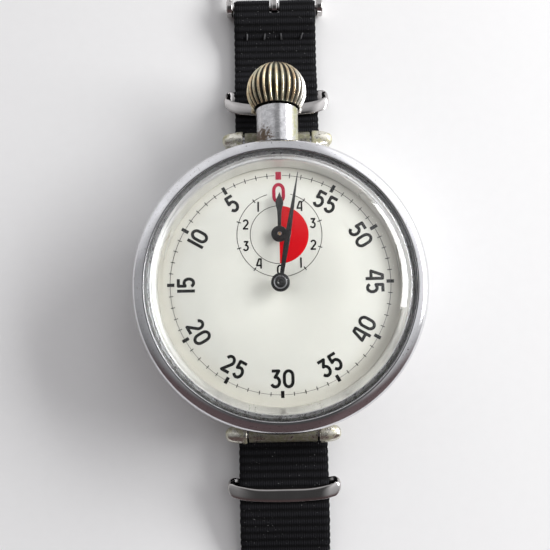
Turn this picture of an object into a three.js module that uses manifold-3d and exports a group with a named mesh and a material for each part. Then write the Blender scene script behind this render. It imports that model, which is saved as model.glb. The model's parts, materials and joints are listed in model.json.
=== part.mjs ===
// Mechanical countdown stopwatch on a nylon strap. Millimetres, +Z up.
// The origin is on the resting plane under the centre of the dial. +Y points to twelve o'clock.
import * as THREE from "three";
import { mergeVertices } from "three/addons/utils/BufferGeometryUtils.js";
import Module from "manifold-3d";

const wasm = await Module();
wasm.setup();

// ---------------------------------------------------------------- driving dimensions
// Strap: two layers of webbing that pass under the case, and the loops round them.
const STRAP_WIDTH = 18;
const STRAP_T = 1.1;
const LAYER_GAP = 0.1;
const TAIL_END_Y = -172;
const TAIL_POINT = 9;
const HOLE_COUNT = 9;
const HOLE_PITCH = 7;
const HOLE_R = 0.9;
const FIRST_HOLE_Y = -98;
const KEEPER_WIDTH = 22.8;
const KEEPER_BAR = 0.7;
const KEEPER_SIDE = 0.9;
const KEEPER_OUTER_SQUARE = 3.5;
const KEEPER_INNER_SQUARE = 7;
const KEEPER_BOW = 1.1;
const KEEPER_DEPTH = 2.6;
const KEEPER_HEIGHT = 3.9;
const KEEPER_UPPER_Y = 38.5;
const KEEPER_LOWER_Y = -41.6;
const KEEPER_UPPER_LEAN = 1.2;
const KEEPER_LOWER_LEAN = 0.3;
const BUCKLE_BAR_Y = 62.6;
const BUCKLE_BAR_R = 0.6;
const BUCKLE_LENGTH = 12.5;
const BUCKLE_HALF_WIDTH = 10.6;
const BUCKLE_WIRE = 1.35;

// Case: heights above the resting plane, and radii.
const BACK_Z = 2.6;
const BACK_T = 0.9;
const BAND_Z = 5;
const BAND_TOP_Z = 12.5;
const BAND_R = 27.3;
const BAND_INNER_R = 25.6;
const BEZEL_R = 28.5;
const BEZEL_INNER_R = 26;
const BEZEL_TOP_Z = 15.1;
const CRYSTAL_R = 25.85;
const CRYSTAL_TOP_R = 24.1;
const CRYSTAL_SHOULDER_Z = 17.5;
const CRYSTAL_TOP_Z = 19;
const CRYSTAL_T = 1.3;
const CRYSTAL_SEAT_R = 24.7;
const DIAL_Z = 12.4;
const DIAL_R = 24.4;
const REHAUT_INNER_R = 23.3;
const SUB_DIAL_Y = 9.52;

// Crown, pendant tube and hinged lugs.
const CROWN_Z = 10.2;
const CROWN_R = 6.1;
const CROWN_Y = 39.65;
const CROWN_FLATTENING = 0.955;
const CROWN_TRAVEL = 1.2;
const FLUTES = 28;
const TUBE_R = 4.25;
const TUBE_END_Y = 35.65;
const STEM_R = 0.6;
const LUG_Z = 6;
const LUG_TOP_Y = 30.8;
const LUG_BOTTOM_Y = -29.4;
const KNUCKLE_R = 1.65;
const KNUCKLE_HALF = 6.8;
const EAR_R = 1.9;
const EAR_INNER_X = 7.15;
const EAR_OUTER_X = 11.3;
const ARM_INNER_X = 9.3;
const PIN_R = 0.8;
const LUG_BAR_R = 0.75;
const LUG_BAR_Z = 2;

// Movement levels.
const PLATE_Z = 10.7;
const PLATE_TOP_Z = 11.1;
const PLATE_R = 24.8;
const BRIDGE_Z = 5.4;
const BRIDGE_TOP_Z = 6.3;
const ARBOR_LOW_Z = BRIDGE_TOP_Z + 0.08;
const ARBOR_HIGH_Z = PLATE_Z - 0.08;

// Going train: teeth, module and where the arbors stand.
const TRAIN = {
  seconds: { teeth: 60, module: 0.16, pinion: 6, pinionModule: 0.2 },
  third: { teeth: 48, module: 0.2, pinion: 8, pinionModule: 0.2 },
  second: { teeth: 48, module: 0.2, pinion: 10, pinionModule: 0.28 },
  barrel: { teeth: 60, module: 0.28 },
  escape: { teeth: 15, radius: 2.9, pinion: 6, pinionModule: 0.16 },
};
const THIRD_AT = polar([0, 0], meshDistance(TRAIN.third, TRAIN.seconds), 208);
const SECOND_AT = polar(THIRD_AT, meshDistance(TRAIN.second, TRAIN.third), 148);
const BARREL_AT = polar(SECOND_AT, meshDistance(TRAIN.barrel, TRAIN.second), 101);
const ESCAPE_AT = polar([0, 0], meshDistance(TRAIN.seconds, TRAIN.escape), -50);
const FORK_AT = polar(ESCAPE_AT, 4.3, -42);
const BALANCE_AT = polar(FORK_AT, 5.4, -42);
const BALANCE_R = 5;

// Minute work under the dial: two reductions of 2.5 and 4 make one turn in ten minutes.
const MINUTE_MODULE = 0.28;
const SECONDS_PINION_TEETH = 8;
const IDLER_TEETH = 20;
const IDLER_PINION_TEETH = 8;
const MINUTE_TEETH = 32;
const IDLER_Y = (MINUTE_MODULE * (SECONDS_PINION_TEETH + IDLER_TEETH)) / 2;
const MINUTE_MODULE_2 = (2 * (SUB_DIAL_Y - IDLER_Y)) / (IDLER_PINION_TEETH + MINUTE_TEETH);

// Winding work.
const WIND_MODULE = 0.5;
const RATCHET_TEETH = 36;
const CROWN_WHEEL_TEETH = 14;
const CROWN_WHEEL_AT = circleMeet(BARREL_AT, (WIND_MODULE * (RATCHET_TEETH + CROWN_WHEEL_TEETH)) / 2, 0);
const WIND_LOW_Z = 4.9;
const WIND_HIGH_Z = 5.3;

// Hands: heights above the resting plane, sizes, and angles clockwise of twelve o'clock at rest.
const SWEEP_Z = DIAL_Z + 1.65;
const SWEEP_HUB_R = 1.8;
const SWEEP_LENGTH = 21.9;
const SWEEP_REST_DEG = 10;
const MINUTE_Z = DIAL_Z + 0.75;
const MINUTE_HUB_R = 1.6;
const MINUTE_LENGTH = 8.15;
const MINUTE_REST_DEG = 1;

// ---------------------------------------------------------------- materials
const chrome = () => material(0xc9cacb, 0.2, 1);
const steel = () => material(0xb9babd, 0.3, 1);
const brass = () => material(0xb89a55, 0.35, 1);
const nickel = () => material(0xb5b09f, 0.4, 0.9);
const nylon = () => material(0x0d0d0f, 0.9, 0);
const blackened = () => material(0x101012, 0.4, 0.4);

function material(color, roughness, metalness) {
  return new THREE.MeshStandardMaterial({ color, roughness, metalness });
}

// ---------------------------------------------------------------- plane geometry helpers
function polar([x, y], distance, degrees) {
  const a = THREE.MathUtils.degToRad(degrees);
  return [x + distance * Math.cos(a), y + distance * Math.sin(a)];
}

// The distance between a wheel and the pinion that it drives.
function meshDistance(wheel, driven) {
  return (wheel.module * (wheel.teeth + driven.pinion)) / 2;
}

// The point on the stem's line (x = offset) that is the given distance from a centre, on the upper side.
function circleMeet([x, y], distance, offset) {
  return [offset, y + Math.sqrt(distance * distance - (x - offset) * (x - offset))];
}

function directionDeg(from, to) {
  return THREE.MathUtils.radToDeg(Math.atan2(to[1] - from[1], to[0] - from[0]));
}

// A gear's outline, with a tooth centred on the direction `phase` in degrees. A wheel has pointed teeth,
// and a pinion, which states its leaves' width as a share of the pitch, has flat-topped ones.
function gearOutline(teeth, module, phase, { tip = 0.75, root = 1, width = 0 } = {}) {
  const pitchR = (module * teeth) / 2;
  const step = (2 * Math.PI) / teeth;
  const start = THREE.MathUtils.degToRad(phase);
  const pointed = [[-0.5, pitchR - root * module], [0, pitchR + tip * module]];
  const flatTopped = [
    [-0.5 * (width + 0.12), pitchR - root * module],
    [-0.5 * (width - 0.14), pitchR + tip * module],
    [0.5 * (width - 0.14), pitchR + tip * module],
    [0.5 * (width + 0.12), pitchR - root * module],
  ];
  const corners = width > 0 ? flatTopped : pointed;
  const points = [];
  for (let i = 0; i < teeth; i += 1) {
    for (const [turn, r] of corners) {
      const a = start + (i + turn) * step;
      points.push(new THREE.Vector2(r * Math.cos(a), r * Math.sin(a)));
    }
  }
  return new THREE.Shape(points);
}

// An escape wheel's outline: pointed teeth with undercut faces.
function escapeOutline(teeth, radius) {
  const points = [];
  for (let i = 0; i < teeth; i += 1) {
    const a = (i * 2 * Math.PI) / teeth;
    for (const [turn, r] of [[0, radius], [0.12, radius], [0.5, 0.8 * radius], [0.93, 0.76 * radius]]) {
      const b = a + (turn * 2 * Math.PI) / teeth;
      points.push(new THREE.Vector2(r * Math.cos(b), r * Math.sin(b)));
    }
  }
  return new THREE.Shape(points);
}

// A heart cam's outline about its arbor: the radius grows evenly from the cleft to the far side.
function heartOutline(low, high) {
  const points = [];
  const steps = 24;
  for (let i = 0; i < steps; i += 1) {
    const a = (i / steps) * 2 * Math.PI;
    const share = 1 - Math.abs(i / steps - 0.5) * 2;
    const r = low + (high - low) * share;
    points.push(new THREE.Vector2(r * Math.cos(a), r * Math.sin(a)));
  }
  return new THREE.Shape(points);
}

// A flat lever: round ends of the given radii, one after the other along a bent line.
function leverOutline(stations) {
  const left = [];
  const right = [];
  stations.forEach(([x, y, r], i) => {
    const before = stations[Math.max(i - 1, 0)];
    const after = stations[Math.min(i + 1, stations.length - 1)];
    const along = new THREE.Vector2(after[0] - before[0], after[1] - before[1]).normalize();
    const side = new THREE.Vector2(-along.y, along.x);
    if (i === 0) {
      left.push(new THREE.Vector2(x, y).addScaledVector(along, -r).addScaledVector(side, 0.4 * r));
      right.push(new THREE.Vector2(x, y).addScaledVector(along, -r).addScaledVector(side, -0.4 * r));
    }
    left.push(new THREE.Vector2(x, y).addScaledVector(side, r));
    right.push(new THREE.Vector2(x, y).addScaledVector(side, -r));
    if (i === stations.length - 1) {
      left.push(new THREE.Vector2(x, y).addScaledVector(along, r).addScaledVector(side, 0.4 * r));
      right.push(new THREE.Vector2(x, y).addScaledVector(along, r).addScaledVector(side, -0.4 * r));
    }
  });
  return new THREE.Shape([...right, ...left.reverse()]);
}

// ---------------------------------------------------------------- solid helpers
// A closed three.js geometry becomes a solid whose faces point out.
function solid(geometry) {
  const bare = geometry.clone();
  bare.deleteAttribute("normal");
  bare.deleteAttribute("uv");
  const merged = mergeVertices(bare, 1e-4);
  const position = merged.getAttribute("position");
  const corner = (i) => new THREE.Vector3().fromBufferAttribute(position, i);
  const source = merged.getIndex().array;
  const kept = [];
  let volume = 0;
  for (let i = 0; i < source.length; i += 3) {
    const [a, b, c] = [source[i], source[i + 1], source[i + 2]];
    if (a !== b && b !== c && a !== c) {
      kept.push([a, b, c]);
      volume += corner(a).dot(corner(b).cross(corner(c)));
    }
  }
  const triangles = volume < 0 ? kept.map(([a, b, c]) => [a, c, b]) : kept;
  const mesh = new wasm.Mesh({
    numProp: 3,
    vertProperties: new Float32Array(position.array),
    triVerts: new Uint32Array(triangles.flat()),
  });
  mesh.merge();
  return new wasm.Manifold(mesh);
}

function geometryOf(body) {
  const { vertProperties, triVerts } = body.getMesh();
  const geometry = new THREE.BufferGeometry();
  geometry.setAttribute("position", new THREE.BufferAttribute(new Float32Array(vertProperties), 3));
  geometry.setIndex(new THREE.BufferAttribute(new Uint32Array(triVerts), 1));
  geometry.computeVertexNormals();
  return geometry;
}

// A flat plate between two heights.
function plate(shape, low, high, curveSegments = 6) {
  const settings = { depth: high - low, bevelEnabled: false, curveSegments };
  const geometry = new THREE.ExtrudeGeometry(shape, settings);
  return solid(geometry.translate(0, 0, low));
}

// A profile of [radius, height] pairs turned about the Z axis. A ring's profile closes on itself.
function turned(profile, segments = 48, closed = false) {
  const points = profile.map(([r, z]) => new THREE.Vector2(r, z));
  if (closed) {
    points.push(points[0].clone());
  }
  return solid(new THREE.LatheGeometry(points, segments).rotateX(Math.PI / 2));
}

function ring(outer, inner, low, high, segments = 48) {
  return turned([[inner, low], [outer, low], [outer, high], [inner, high]], segments, true);
}

function disc(radius, low, high, segments = 16) {
  return turned([[0, low], [radius, low], [radius, high], [0, high]], segments);
}

function rod(radius, from, to, axis, centre, segments = 16) {
  const geometry = new THREE.CylinderGeometry(radius, radius, to - from, segments);
  geometry.translate(0, (from + to) / 2, 0);
  if (axis === "x") {
    geometry.rotateZ(-Math.PI / 2);
  }
  if (axis === "z") {
    geometry.rotateX(Math.PI / 2);
  }
  return solid(geometry.translate(...centre));
}

function block([x0, y0, z0], [x1, y1, z1]) {
  const geometry = new THREE.BoxGeometry(x1 - x0, y1 - y0, z1 - z0);
  return solid(geometry.translate((x0 + x1) / 2, (y0 + y1) / 2, (z0 + z1) / 2));
}

// A side profile of [y, z] points spread over a width along X.
function across(points, halfWidth) {
  const shape = new THREE.Shape(points.map(([y, z]) => new THREE.Vector2(y, z)));
  const geometry = new THREE.ExtrudeGeometry(shape, { depth: 2 * halfWidth, bevelEnabled: false });
  // The shape's plane becomes YZ and its depth runs along +X.
  geometry.applyMatrix4(new THREE.Matrix4().makeBasis(
    new THREE.Vector3(0, 1, 0), new THREE.Vector3(0, 0, 1), new THREE.Vector3(1, 0, 0)));
  return solid(geometry.translate(-halfWidth, 0, 0));
}

function at(body, [x, y]) {
  return body.translate([x, y, 0]);
}

// ---------------------------------------------------------------- assembly
const stopwatch = new THREE.Group();

function part(name, body, finish, parent = stopwatch) {
  const mesh = new THREE.Mesh(geometryOf(body), finish);
  mesh.name = name;
  parent.add(mesh);
  return mesh;
}

// ---------------------------------------------------------------- case
function buildCase() {
  const bandProfile = [
    [BAND_INNER_R, BAND_Z + 0.1], [BAND_R - 0.8, BAND_Z + 0.1], [BAND_R - 0.15, BAND_Z + 0.9],
    [BAND_R, BAND_Z + 2.4], [BAND_R, BAND_TOP_Z - 1], [BAND_R - 0.2, BAND_TOP_Z],
    [CRYSTAL_SEAT_R, BAND_TOP_Z], [CRYSTAL_SEAT_R, BAND_TOP_Z - 0.4], [BAND_INNER_R, BAND_TOP_Z - 0.6],
  ];
  const stemHole = rod(STEM_R + 0.06, 20, 30, "y", [0, 0, CROWN_Z], 16);
  part("case_band", turned(bandProfile, 48, true).subtract(stemHole), chrome());

  const backProfile = [
    [0, BACK_Z], [20, BACK_Z], [22.6, BACK_Z + 0.35], [25, BACK_Z + 1.2], [26.5, BACK_Z + 2.35],
    [25.5, BACK_Z + 2.35], [24.4, BACK_Z + 1.75], [22.2, BACK_Z + 1.15], [20, BACK_Z + BACK_T],
    [0, BACK_Z + BACK_T],
  ];
  part("case_back", turned(backProfile, 48), chrome());

  const bezelProfile = [
    [BEZEL_INNER_R, BAND_TOP_Z + 0.1], [BEZEL_R - 0.9, BAND_TOP_Z + 0.1], [BEZEL_R - 0.15, BAND_TOP_Z + 0.55],
    [BEZEL_R, BAND_TOP_Z + 1], [BEZEL_R - 0.2, BAND_TOP_Z + 1.65], [BEZEL_R - 0.75, BEZEL_TOP_Z - 0.4],
    [BEZEL_R - 1.5, BEZEL_TOP_Z - 0.08], [BEZEL_INNER_R + 0.35, BEZEL_TOP_Z],
    [BEZEL_INNER_R, BEZEL_TOP_Z - 0.3],
  ];
  part("bezel", turned(bezelProfile, 48, true), chrome());

  const crystalProfile = [
    [0, CRYSTAL_TOP_Z], [11, CRYSTAL_TOP_Z - 0.25], [18.5, CRYSTAL_TOP_Z - 0.75],
    [22.4, CRYSTAL_SHOULDER_Z + 0.35],
    [CRYSTAL_TOP_R, CRYSTAL_SHOULDER_Z - 0.7], [CRYSTAL_R, BAND_TOP_Z + 2], [CRYSTAL_R, BAND_TOP_Z + 0.35],
    [CRYSTAL_R - CRYSTAL_T, BAND_TOP_Z + 0.35], [CRYSTAL_R - CRYSTAL_T, BAND_TOP_Z + 1.9],
    [CRYSTAL_TOP_R - CRYSTAL_T, CRYSTAL_SHOULDER_Z - 1.5], [21, CRYSTAL_SHOULDER_Z - 0.95],
    [17.6, CRYSTAL_TOP_Z - CRYSTAL_T - 0.75], [10.5, CRYSTAL_TOP_Z - CRYSTAL_T - 0.25],
    [0, CRYSTAL_TOP_Z - CRYSTAL_T],
  ];
  const glass = material(0xe8eeee, 0.05, 0);
  glass.transparent = true;
  glass.opacity = 0.3;
  part("crystal", turned(crystalProfile, 40), glass);

  const rehautProfile = [
    [REHAUT_INNER_R, DIAL_Z + 0.1], [CRYSTAL_R - CRYSTAL_T - 0.1, DIAL_Z + 0.1],
    [CRYSTAL_R - CRYSTAL_T - 0.1, DIAL_Z + 1.9], [REHAUT_INNER_R + 0.75, DIAL_Z + 1.9],
  ];
  part("rehaut_ring", turned(rehautProfile, 40, true), steel());
}

function buildDial() {
  const arborHole = (y) => rod(0.75, DIAL_Z - 2, DIAL_Z + 2, "z", [0, y, 0], 12);
  const face = disc(DIAL_R, DIAL_Z - 0.4, DIAL_Z, 48).subtract(arborHole(0)).subtract(arborHole(SUB_DIAL_Y));
  part("dial", face, material(0xe4e3dc, 0.55, 0.1));
}

// ---------------------------------------------------------------- hands
function buildHands() {
  const sweepHub = disc(SWEEP_HUB_R, SWEEP_Z, SWEEP_Z + 0.5, 24)
    .add(disc(1.1, SWEEP_Z + 0.45, SWEEP_Z + 0.7, 20));
  const sweepBlade = new THREE.Shape([
    [-0.36, 0], [0.36, 0], [0.56, 8.7], [0.5, 11], [0.12, SWEEP_LENGTH], [-0.12, SWEEP_LENGTH], [-0.5, 11],
    [-0.56, 8.7],
  ].map(([x, y]) => new THREE.Vector2(x, y)));
  const sweep = sweepHub.add(plate(sweepBlade, SWEEP_Z + 0.05, SWEEP_Z + 0.35));
  const sweepBored = sweep.subtract(rod(0.4, 10, 18, "z", [0, 0, 0], 12));
  part("sweep_hand", sweepBored.rotate([0, 0, -SWEEP_REST_DEG]), blackened());

  const minuteHub = disc(MINUTE_HUB_R, MINUTE_Z, MINUTE_Z + 0.35, 24)
    .add(disc(0.9, MINUTE_Z + 0.3, MINUTE_Z + 0.5, 20));
  const minuteBlade = new THREE.Shape([
    [-0.33, 0], [0.33, 0], [0.42, 3], [0.78, 6], [0.5, 7.2], [0.1, MINUTE_LENGTH], [-0.1, MINUTE_LENGTH],
    [-0.5, 7.2],
    [-0.78, 6], [-0.42, 3],
  ].map(([x, y]) => new THREE.Vector2(x, y)));
  const minute = minuteHub.add(plate(minuteBlade, MINUTE_Z + 0.05, MINUTE_Z + 0.27));
  const minuteBored = minute.subtract(rod(0.4, 10, 18, "z", [0, 0, 0], 12));
  part("minute_hand", at(minuteBored.rotate([0, 0, -MINUTE_REST_DEG]), [0, SUB_DIAL_Y]), blackened());
}

// ---------------------------------------------------------------- crown, stem and pendant
function buildCrown() {
  const tube = rod(TUBE_R, 25, TUBE_END_Y, "y", [0, 0, CROWN_Z], 32);
  const bore = rod(2.4, 20, TUBE_END_Y + 1, "y", [0, 0, CROWN_Z], 20);
  const bandCut = disc(BAND_R + 0.08, BAND_Z - 3, BAND_TOP_Z + 0.05, 96);
  const bezelCut = disc(BEZEL_R + 0.08, BAND_TOP_Z, BEZEL_TOP_Z + 3, 96);
  const knuckleSeat = rod(KNUCKLE_R + 0.08, -8, 8, "x", [0, LUG_TOP_Y, LUG_Z], 20)
    .add(block([-8, 20, LUG_Z - 4], [8, LUG_TOP_Y, LUG_Z + KNUCKLE_R + 0.08]));
  const pendant = tube.subtract(bore).subtract(bandCut).subtract(bezelCut).subtract(knuckleSeat);
  part("pendant_tube", pendant, chrome());

  // The ball's profile runs from the skirt to the flat outer end, and flutes are cut along it.
  const steps = 5;
  const profile = [[0, CROWN_Y - 5.1]];
  for (let i = 0; i <= steps; i += 1) {
    const a = THREE.MathUtils.lerp(-1, 1.25, i / steps);
    profile.push([CROWN_R * Math.cos(a), CROWN_Y + CROWN_R * Math.sin(a) * CROWN_FLATTENING]);
  }
  profile.push([0, CROWN_Y + 5.6]);
  const points = profile.map(([r, y]) => new THREE.Vector2(r, y));
  const ball = new THREE.LatheGeometry(points, 2 * FLUTES);
  const position = ball.getAttribute("position");
  for (let i = 0; i < position.count; i += 1) {
    const [x, z] = [position.getX(i), position.getZ(i)];
    const turn = Math.round((Math.atan2(x, z) / Math.PI) * FLUTES);
    const depth = Math.hypot(x, z) > 1 && turn % 2 !== 0 ? 0.94 : 1;
    position.setXYZ(i, x * depth, position.getY(i), z * depth);
  }
  const skirt = rod(TUBE_R + 0.3, 30, TUBE_END_Y + 0.15 + CROWN_TRAVEL, "y", [0, 0, 0], 32);
  const crown = solid(ball).subtract(skirt).translate([0, 0, CROWN_Z]);
  const collar = rod(1.9, 33, TUBE_END_Y + 2, "y", [0, 0, CROWN_Z], 20);
  const socket = rod(STEM_R + 0.05, 20, CROWN_Y, "y", [0, 0, CROWN_Z], 12);
  part("crown", crown.add(collar).subtract(socket), material(0xa9a086, 0.35, 1));

  const square = block([-0.45, 14.3, CROWN_Z - 0.45], [0.45, 21.4, CROWN_Z + 0.45]);
  const shoulder = rod(1.5, 21.2, 21.8, "y", [0, 0, CROWN_Z], 16);
  const shank = rod(STEM_R, 21.6, CROWN_Y - 0.1, "y", [0, 0, CROWN_Z], 12);
  part("winding_stem", square.add(shoulder).add(shank), steel());
  part("crown_spring", coil(1.35, 0.22, 27.6, 31.5, 4), steel());
}

// A helical spring round the stem, lying along Y.
function coil(radius, wire, from, to, turns) {
  class Helix extends THREE.Curve {
    getPoint(t) {
      const a = t * turns * 2 * Math.PI;
      return new THREE.Vector3(radius * Math.cos(a), from + t * (to - from), CROWN_Z + radius * Math.sin(a));
    }
  }
  const corners = [[-wire, 0], [0, -wire], [wire, 0], [0, wire]];
  const section = new THREE.Shape(corners.map(([x, y]) => new THREE.Vector2(x, y)));
  return solid(new THREE.ExtrudeGeometry(section, { steps: 10 * turns, extrudePath: new Helix() }));
}

// ---------------------------------------------------------------- lugs
function buildLugs() {
  // An ear turned about the pin, which tapers in a long curve towards its outer end.
  const ear = turned([
    [0, EAR_INNER_X], [EAR_R, EAR_INNER_X], [EAR_R - 0.04, EAR_INNER_X + 1], [EAR_R - 0.25, EAR_INNER_X + 2],
    [EAR_R - 0.6, EAR_INNER_X + 3], [EAR_R - 0.98, EAR_INNER_X + 3.8], [0, EAR_OUTER_X],
  ], 20);
  for (const [place, y] of [["top", LUG_TOP_Y], ["bottom", LUG_BOTTOM_Y]]) {
    const side = Math.sign(y);
    const web = block(
      [-KNUCKLE_HALF, Math.min(y, 26 * side), LUG_Z - KNUCKLE_R],
      [KNUCKLE_HALF, Math.max(y, 26 * side), LUG_Z + KNUCKLE_R]);
    const knuckle = rod(KNUCKLE_R, -KNUCKLE_HALF, KNUCKLE_HALF, "x", [0, y, LUG_Z], 20)
      .add(web)
      .subtract(disc(BAND_R + 0.08, 0, 20, 96))
      .subtract(rod(PIN_R + 0.05, -12, 12, "x", [0, y, LUG_Z], 12));
    part(`lug_knuckle_${place}`, knuckle, chrome());
    part(`lug_pin_${place}`, rod(PIN_R, -EAR_OUTER_X, EAR_OUTER_X, "x", [0, y, LUG_Z], 12), steel());

    let stirrup = rod(LUG_BAR_R, -EAR_OUTER_X + 0.1, EAR_OUTER_X - 0.1, "x", [0, y, LUG_BAR_Z], 12);
    for (const hand of [-1, 1]) {
      const armFrom = Math.min(hand * ARM_INNER_X, hand * EAR_OUTER_X);
      const armTo = Math.max(hand * ARM_INNER_X, hand * EAR_OUTER_X);
      stirrup = stirrup
        .add(ear.rotate([0, 90 * hand, 0]).translate([0, y, LUG_Z]))
        .add(block([armFrom, y - 1.1, LUG_BAR_Z - LUG_BAR_R], [armTo, y + 1.1, LUG_Z]));
    }
    const pinHole = rod(PIN_R + 0.06, -12, 12, "x", [0, y, LUG_Z], 12);
    part(`lug_stirrup_${place}`, stirrup.subtract(pinHole), chrome());
  }
}

// ---------------------------------------------------------------- strap
// The outline of a ribbon of the strap's thickness, along a centreline of [y, z] points.
function ribbon(line) {
  const one = [];
  const other = [];
  line.forEach(([y, z], i) => {
    const [y0, z0] = line[Math.max(i - 1, 0)];
    const [y1, z1] = line[Math.min(i + 1, line.length - 1)];
    const length = Math.hypot(y1 - y0, z1 - z0);
    const [ny, nz] = [(-(z1 - z0) / length) * (STRAP_T / 2), ((y1 - y0) / length) * (STRAP_T / 2)];
    one.push([y + ny, z + nz]);
    other.push([y - ny, z - nz]);
  });
  return [...one, ...other.reverse()];
}

// Points that go smoothly from one station [y, z] to the next, with soft bends where the height changes.
function easedLine(stations) {
  const line = [];
  const steps = 5;
  stations.slice(1).forEach(([y1, z1], i) => {
    const [y0, z0] = stations[i];
    const count = z0 === z1 ? 1 : steps;
    for (let k = 0; k < count; k += 1) {
      const t = k / count;
      const ease = (1 - Math.cos(Math.PI * t)) / 2;
      line.push([y0 + t * (y1 - y0), z0 + ease * (z1 - z0)]);
    }
  });
  line.push(stations.at(-1));
  return line;
}

// A half turn of the strap about a bar: from the lower layer to the upper one, on the side `side` of Y.
function foldLine(y, low, high, side) {
  const steps = 8;
  const line = [];
  for (let i = 0; i <= steps; i += 1) {
    const a = -Math.PI / 2 + (Math.PI * i) / steps;
    const radius = (high - low) / 2;
    line.push([y + side * radius * Math.cos(a), (low + high) / 2 + radius * Math.sin(a)]);
  }
  return line;
}

const LOW_LAYER = STRAP_T / 2;
const UPPER_LAYER = LOW_LAYER + STRAP_T + LAYER_GAP;
const KEEPER_LIFT = KEEPER_BAR + LAYER_GAP;
const LOWER_KEEPER_Z = STRAP_T + LAYER_GAP;
const UNDER_AT_LOWER = LOWER_KEEPER_Z + KEEPER_BAR + LAYER_GAP + STRAP_T / 2;
const OVER_LUG_BAR = LUG_BAR_Z + LUG_BAR_R + LAYER_GAP + STRAP_T / 2;
const LOOP_TOP = LOW_LAYER + STRAP_T + 2 * (BUCKLE_BAR_R + 0.1);

function buildStrap() {
  const upperTop = [
    [BUCKLE_BAR_Y, LOOP_TOP], [59.5, LOOP_TOP], [53.5, UPPER_LAYER], [48.2, UPPER_LAYER],
    [44.6, UPPER_LAYER + KEEPER_LIFT], [36.8, UPPER_LAYER + KEEPER_LIFT],
    [LUG_TOP_Y + 1, OVER_LUG_BAR], [LUG_TOP_Y - 1, OVER_LUG_BAR], [22.6, UPPER_LAYER], [-22, UPPER_LAYER],
    [LUG_BOTTOM_Y + 1, OVER_LUG_BAR], [LUG_BOTTOM_Y - 1, OVER_LUG_BAR],
    [-35.5, UNDER_AT_LOWER + STRAP_T + LAYER_GAP], [-43.8, UNDER_AT_LOWER + STRAP_T + LAYER_GAP],
    [-60, LOW_LAYER], [TAIL_END_Y, LOW_LAYER],
  ];
  const mainLine = [
    [51.6, LOW_LAYER], ...foldLine(BUCKLE_BAR_Y, LOW_LAYER, LOOP_TOP, 1), ...easedLine(upperTop).slice(1),
  ];
  const plan = new THREE.Shape();
  plan.moveTo(-STRAP_WIDTH / 2, 80);
  plan.lineTo(-STRAP_WIDTH / 2, TAIL_END_Y + TAIL_POINT);
  plan.quadraticCurveTo(-STRAP_WIDTH / 2 + 1.5, TAIL_END_Y + 2.5, 0, TAIL_END_Y);
  plan.quadraticCurveTo(STRAP_WIDTH / 2 - 1.5, TAIL_END_Y + 2.5, STRAP_WIDTH / 2, TAIL_END_Y + TAIL_POINT);
  plan.lineTo(STRAP_WIDTH / 2, 80);
  for (let i = 0; i < HOLE_COUNT; i += 1) {
    plan.holes.push(new THREE.Path().absarc(0, FIRST_HOLE_Y - i * HOLE_PITCH, HOLE_R, 0, 2 * Math.PI, true));
  }
  const tongueSlot = block([-1.3, 59.6, -1], [1.3, 70, 8]);
  const main = across(ribbon(mainLine), STRAP_WIDTH / 2 + 1)
    .intersect(plate(plan, -1, 9, 4))
    .subtract(tongueSlot);
  part("strap_main", main, nylon());

  const underTop = [
    [51.2, LOW_LAYER + 0.05], [48, LOW_LAYER + 0.05], [44.6, LOW_LAYER + KEEPER_LIFT],
    [36.8, LOW_LAYER + KEEPER_LIFT], [34.2, LOW_LAYER], [-29.9, LOW_LAYER], [-36.6, UNDER_AT_LOWER],
    [KEEPER_LOWER_Y - 2.4, UNDER_AT_LOWER],
  ];
  const fold = foldLine(KEEPER_LOWER_Y - 2.4, LOW_LAYER, UNDER_AT_LOWER, -1).reverse();
  const underLine = [...easedLine(underTop), ...fold.slice(1), [-35.6, LOW_LAYER]];
  part("strap_under", across(ribbon(underLine), STRAP_WIDTH / 2), nylon());
}

// Points round an oval with flattened sides, standing at height middle. squareness 2 is an ellipse.
function squaredOval(halfWidth, halfHeight, squareness, middle) {
  const points = [];
  const count = 40;
  for (let i = 0; i < count; i += 1) {
    const a = (2 * Math.PI * i) / count;
    const [c, s] = [Math.cos(a), Math.sin(a)];
    const x = halfWidth * Math.sign(c) * Math.abs(c) ** (2 / squareness);
    const y = halfHeight * Math.sign(s) * Math.abs(s) ** (2 / squareness);
    points.push(new THREE.Vector2(x, middle + y));
  }
  return points;
}

function keeper(name, y, z, lean) {
  const outer = new THREE.Shape(squaredOval(
    KEEPER_WIDTH / 2, KEEPER_HEIGHT / 2, KEEPER_OUTER_SQUARE, KEEPER_HEIGHT / 2));
  outer.holes.push(new THREE.Path(squaredOval(
    KEEPER_WIDTH / 2 - KEEPER_SIDE, KEEPER_HEIGHT / 2 - KEEPER_BAR, KEEPER_INNER_SQUARE, KEEPER_HEIGHT / 2)));
  const loop = plate(outer, -KEEPER_DEPTH / 2, KEEPER_DEPTH / 2, 4);
  // The loop's plane stands up, and its top bar leans towards the case's lower side.
  const stand = new THREE.Matrix4().set(1, 0, 0, 0, 0, -lean, -1, y, 0, 1, 0, z, 0, 0, 0, 1);
  stand.elements[13] = y + lean * (KEEPER_HEIGHT - KEEPER_BAR / 2);
  // Both bars bow a little, with their ends away from the case's lower side.
  const bowed = loop.transform(stand.elements).warp((v) => {
    v[1] += KEEPER_BOW * Math.abs((2 * v[0]) / KEEPER_WIDTH) ** 3;
  });
  part(name, bowed, steel());
}

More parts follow.
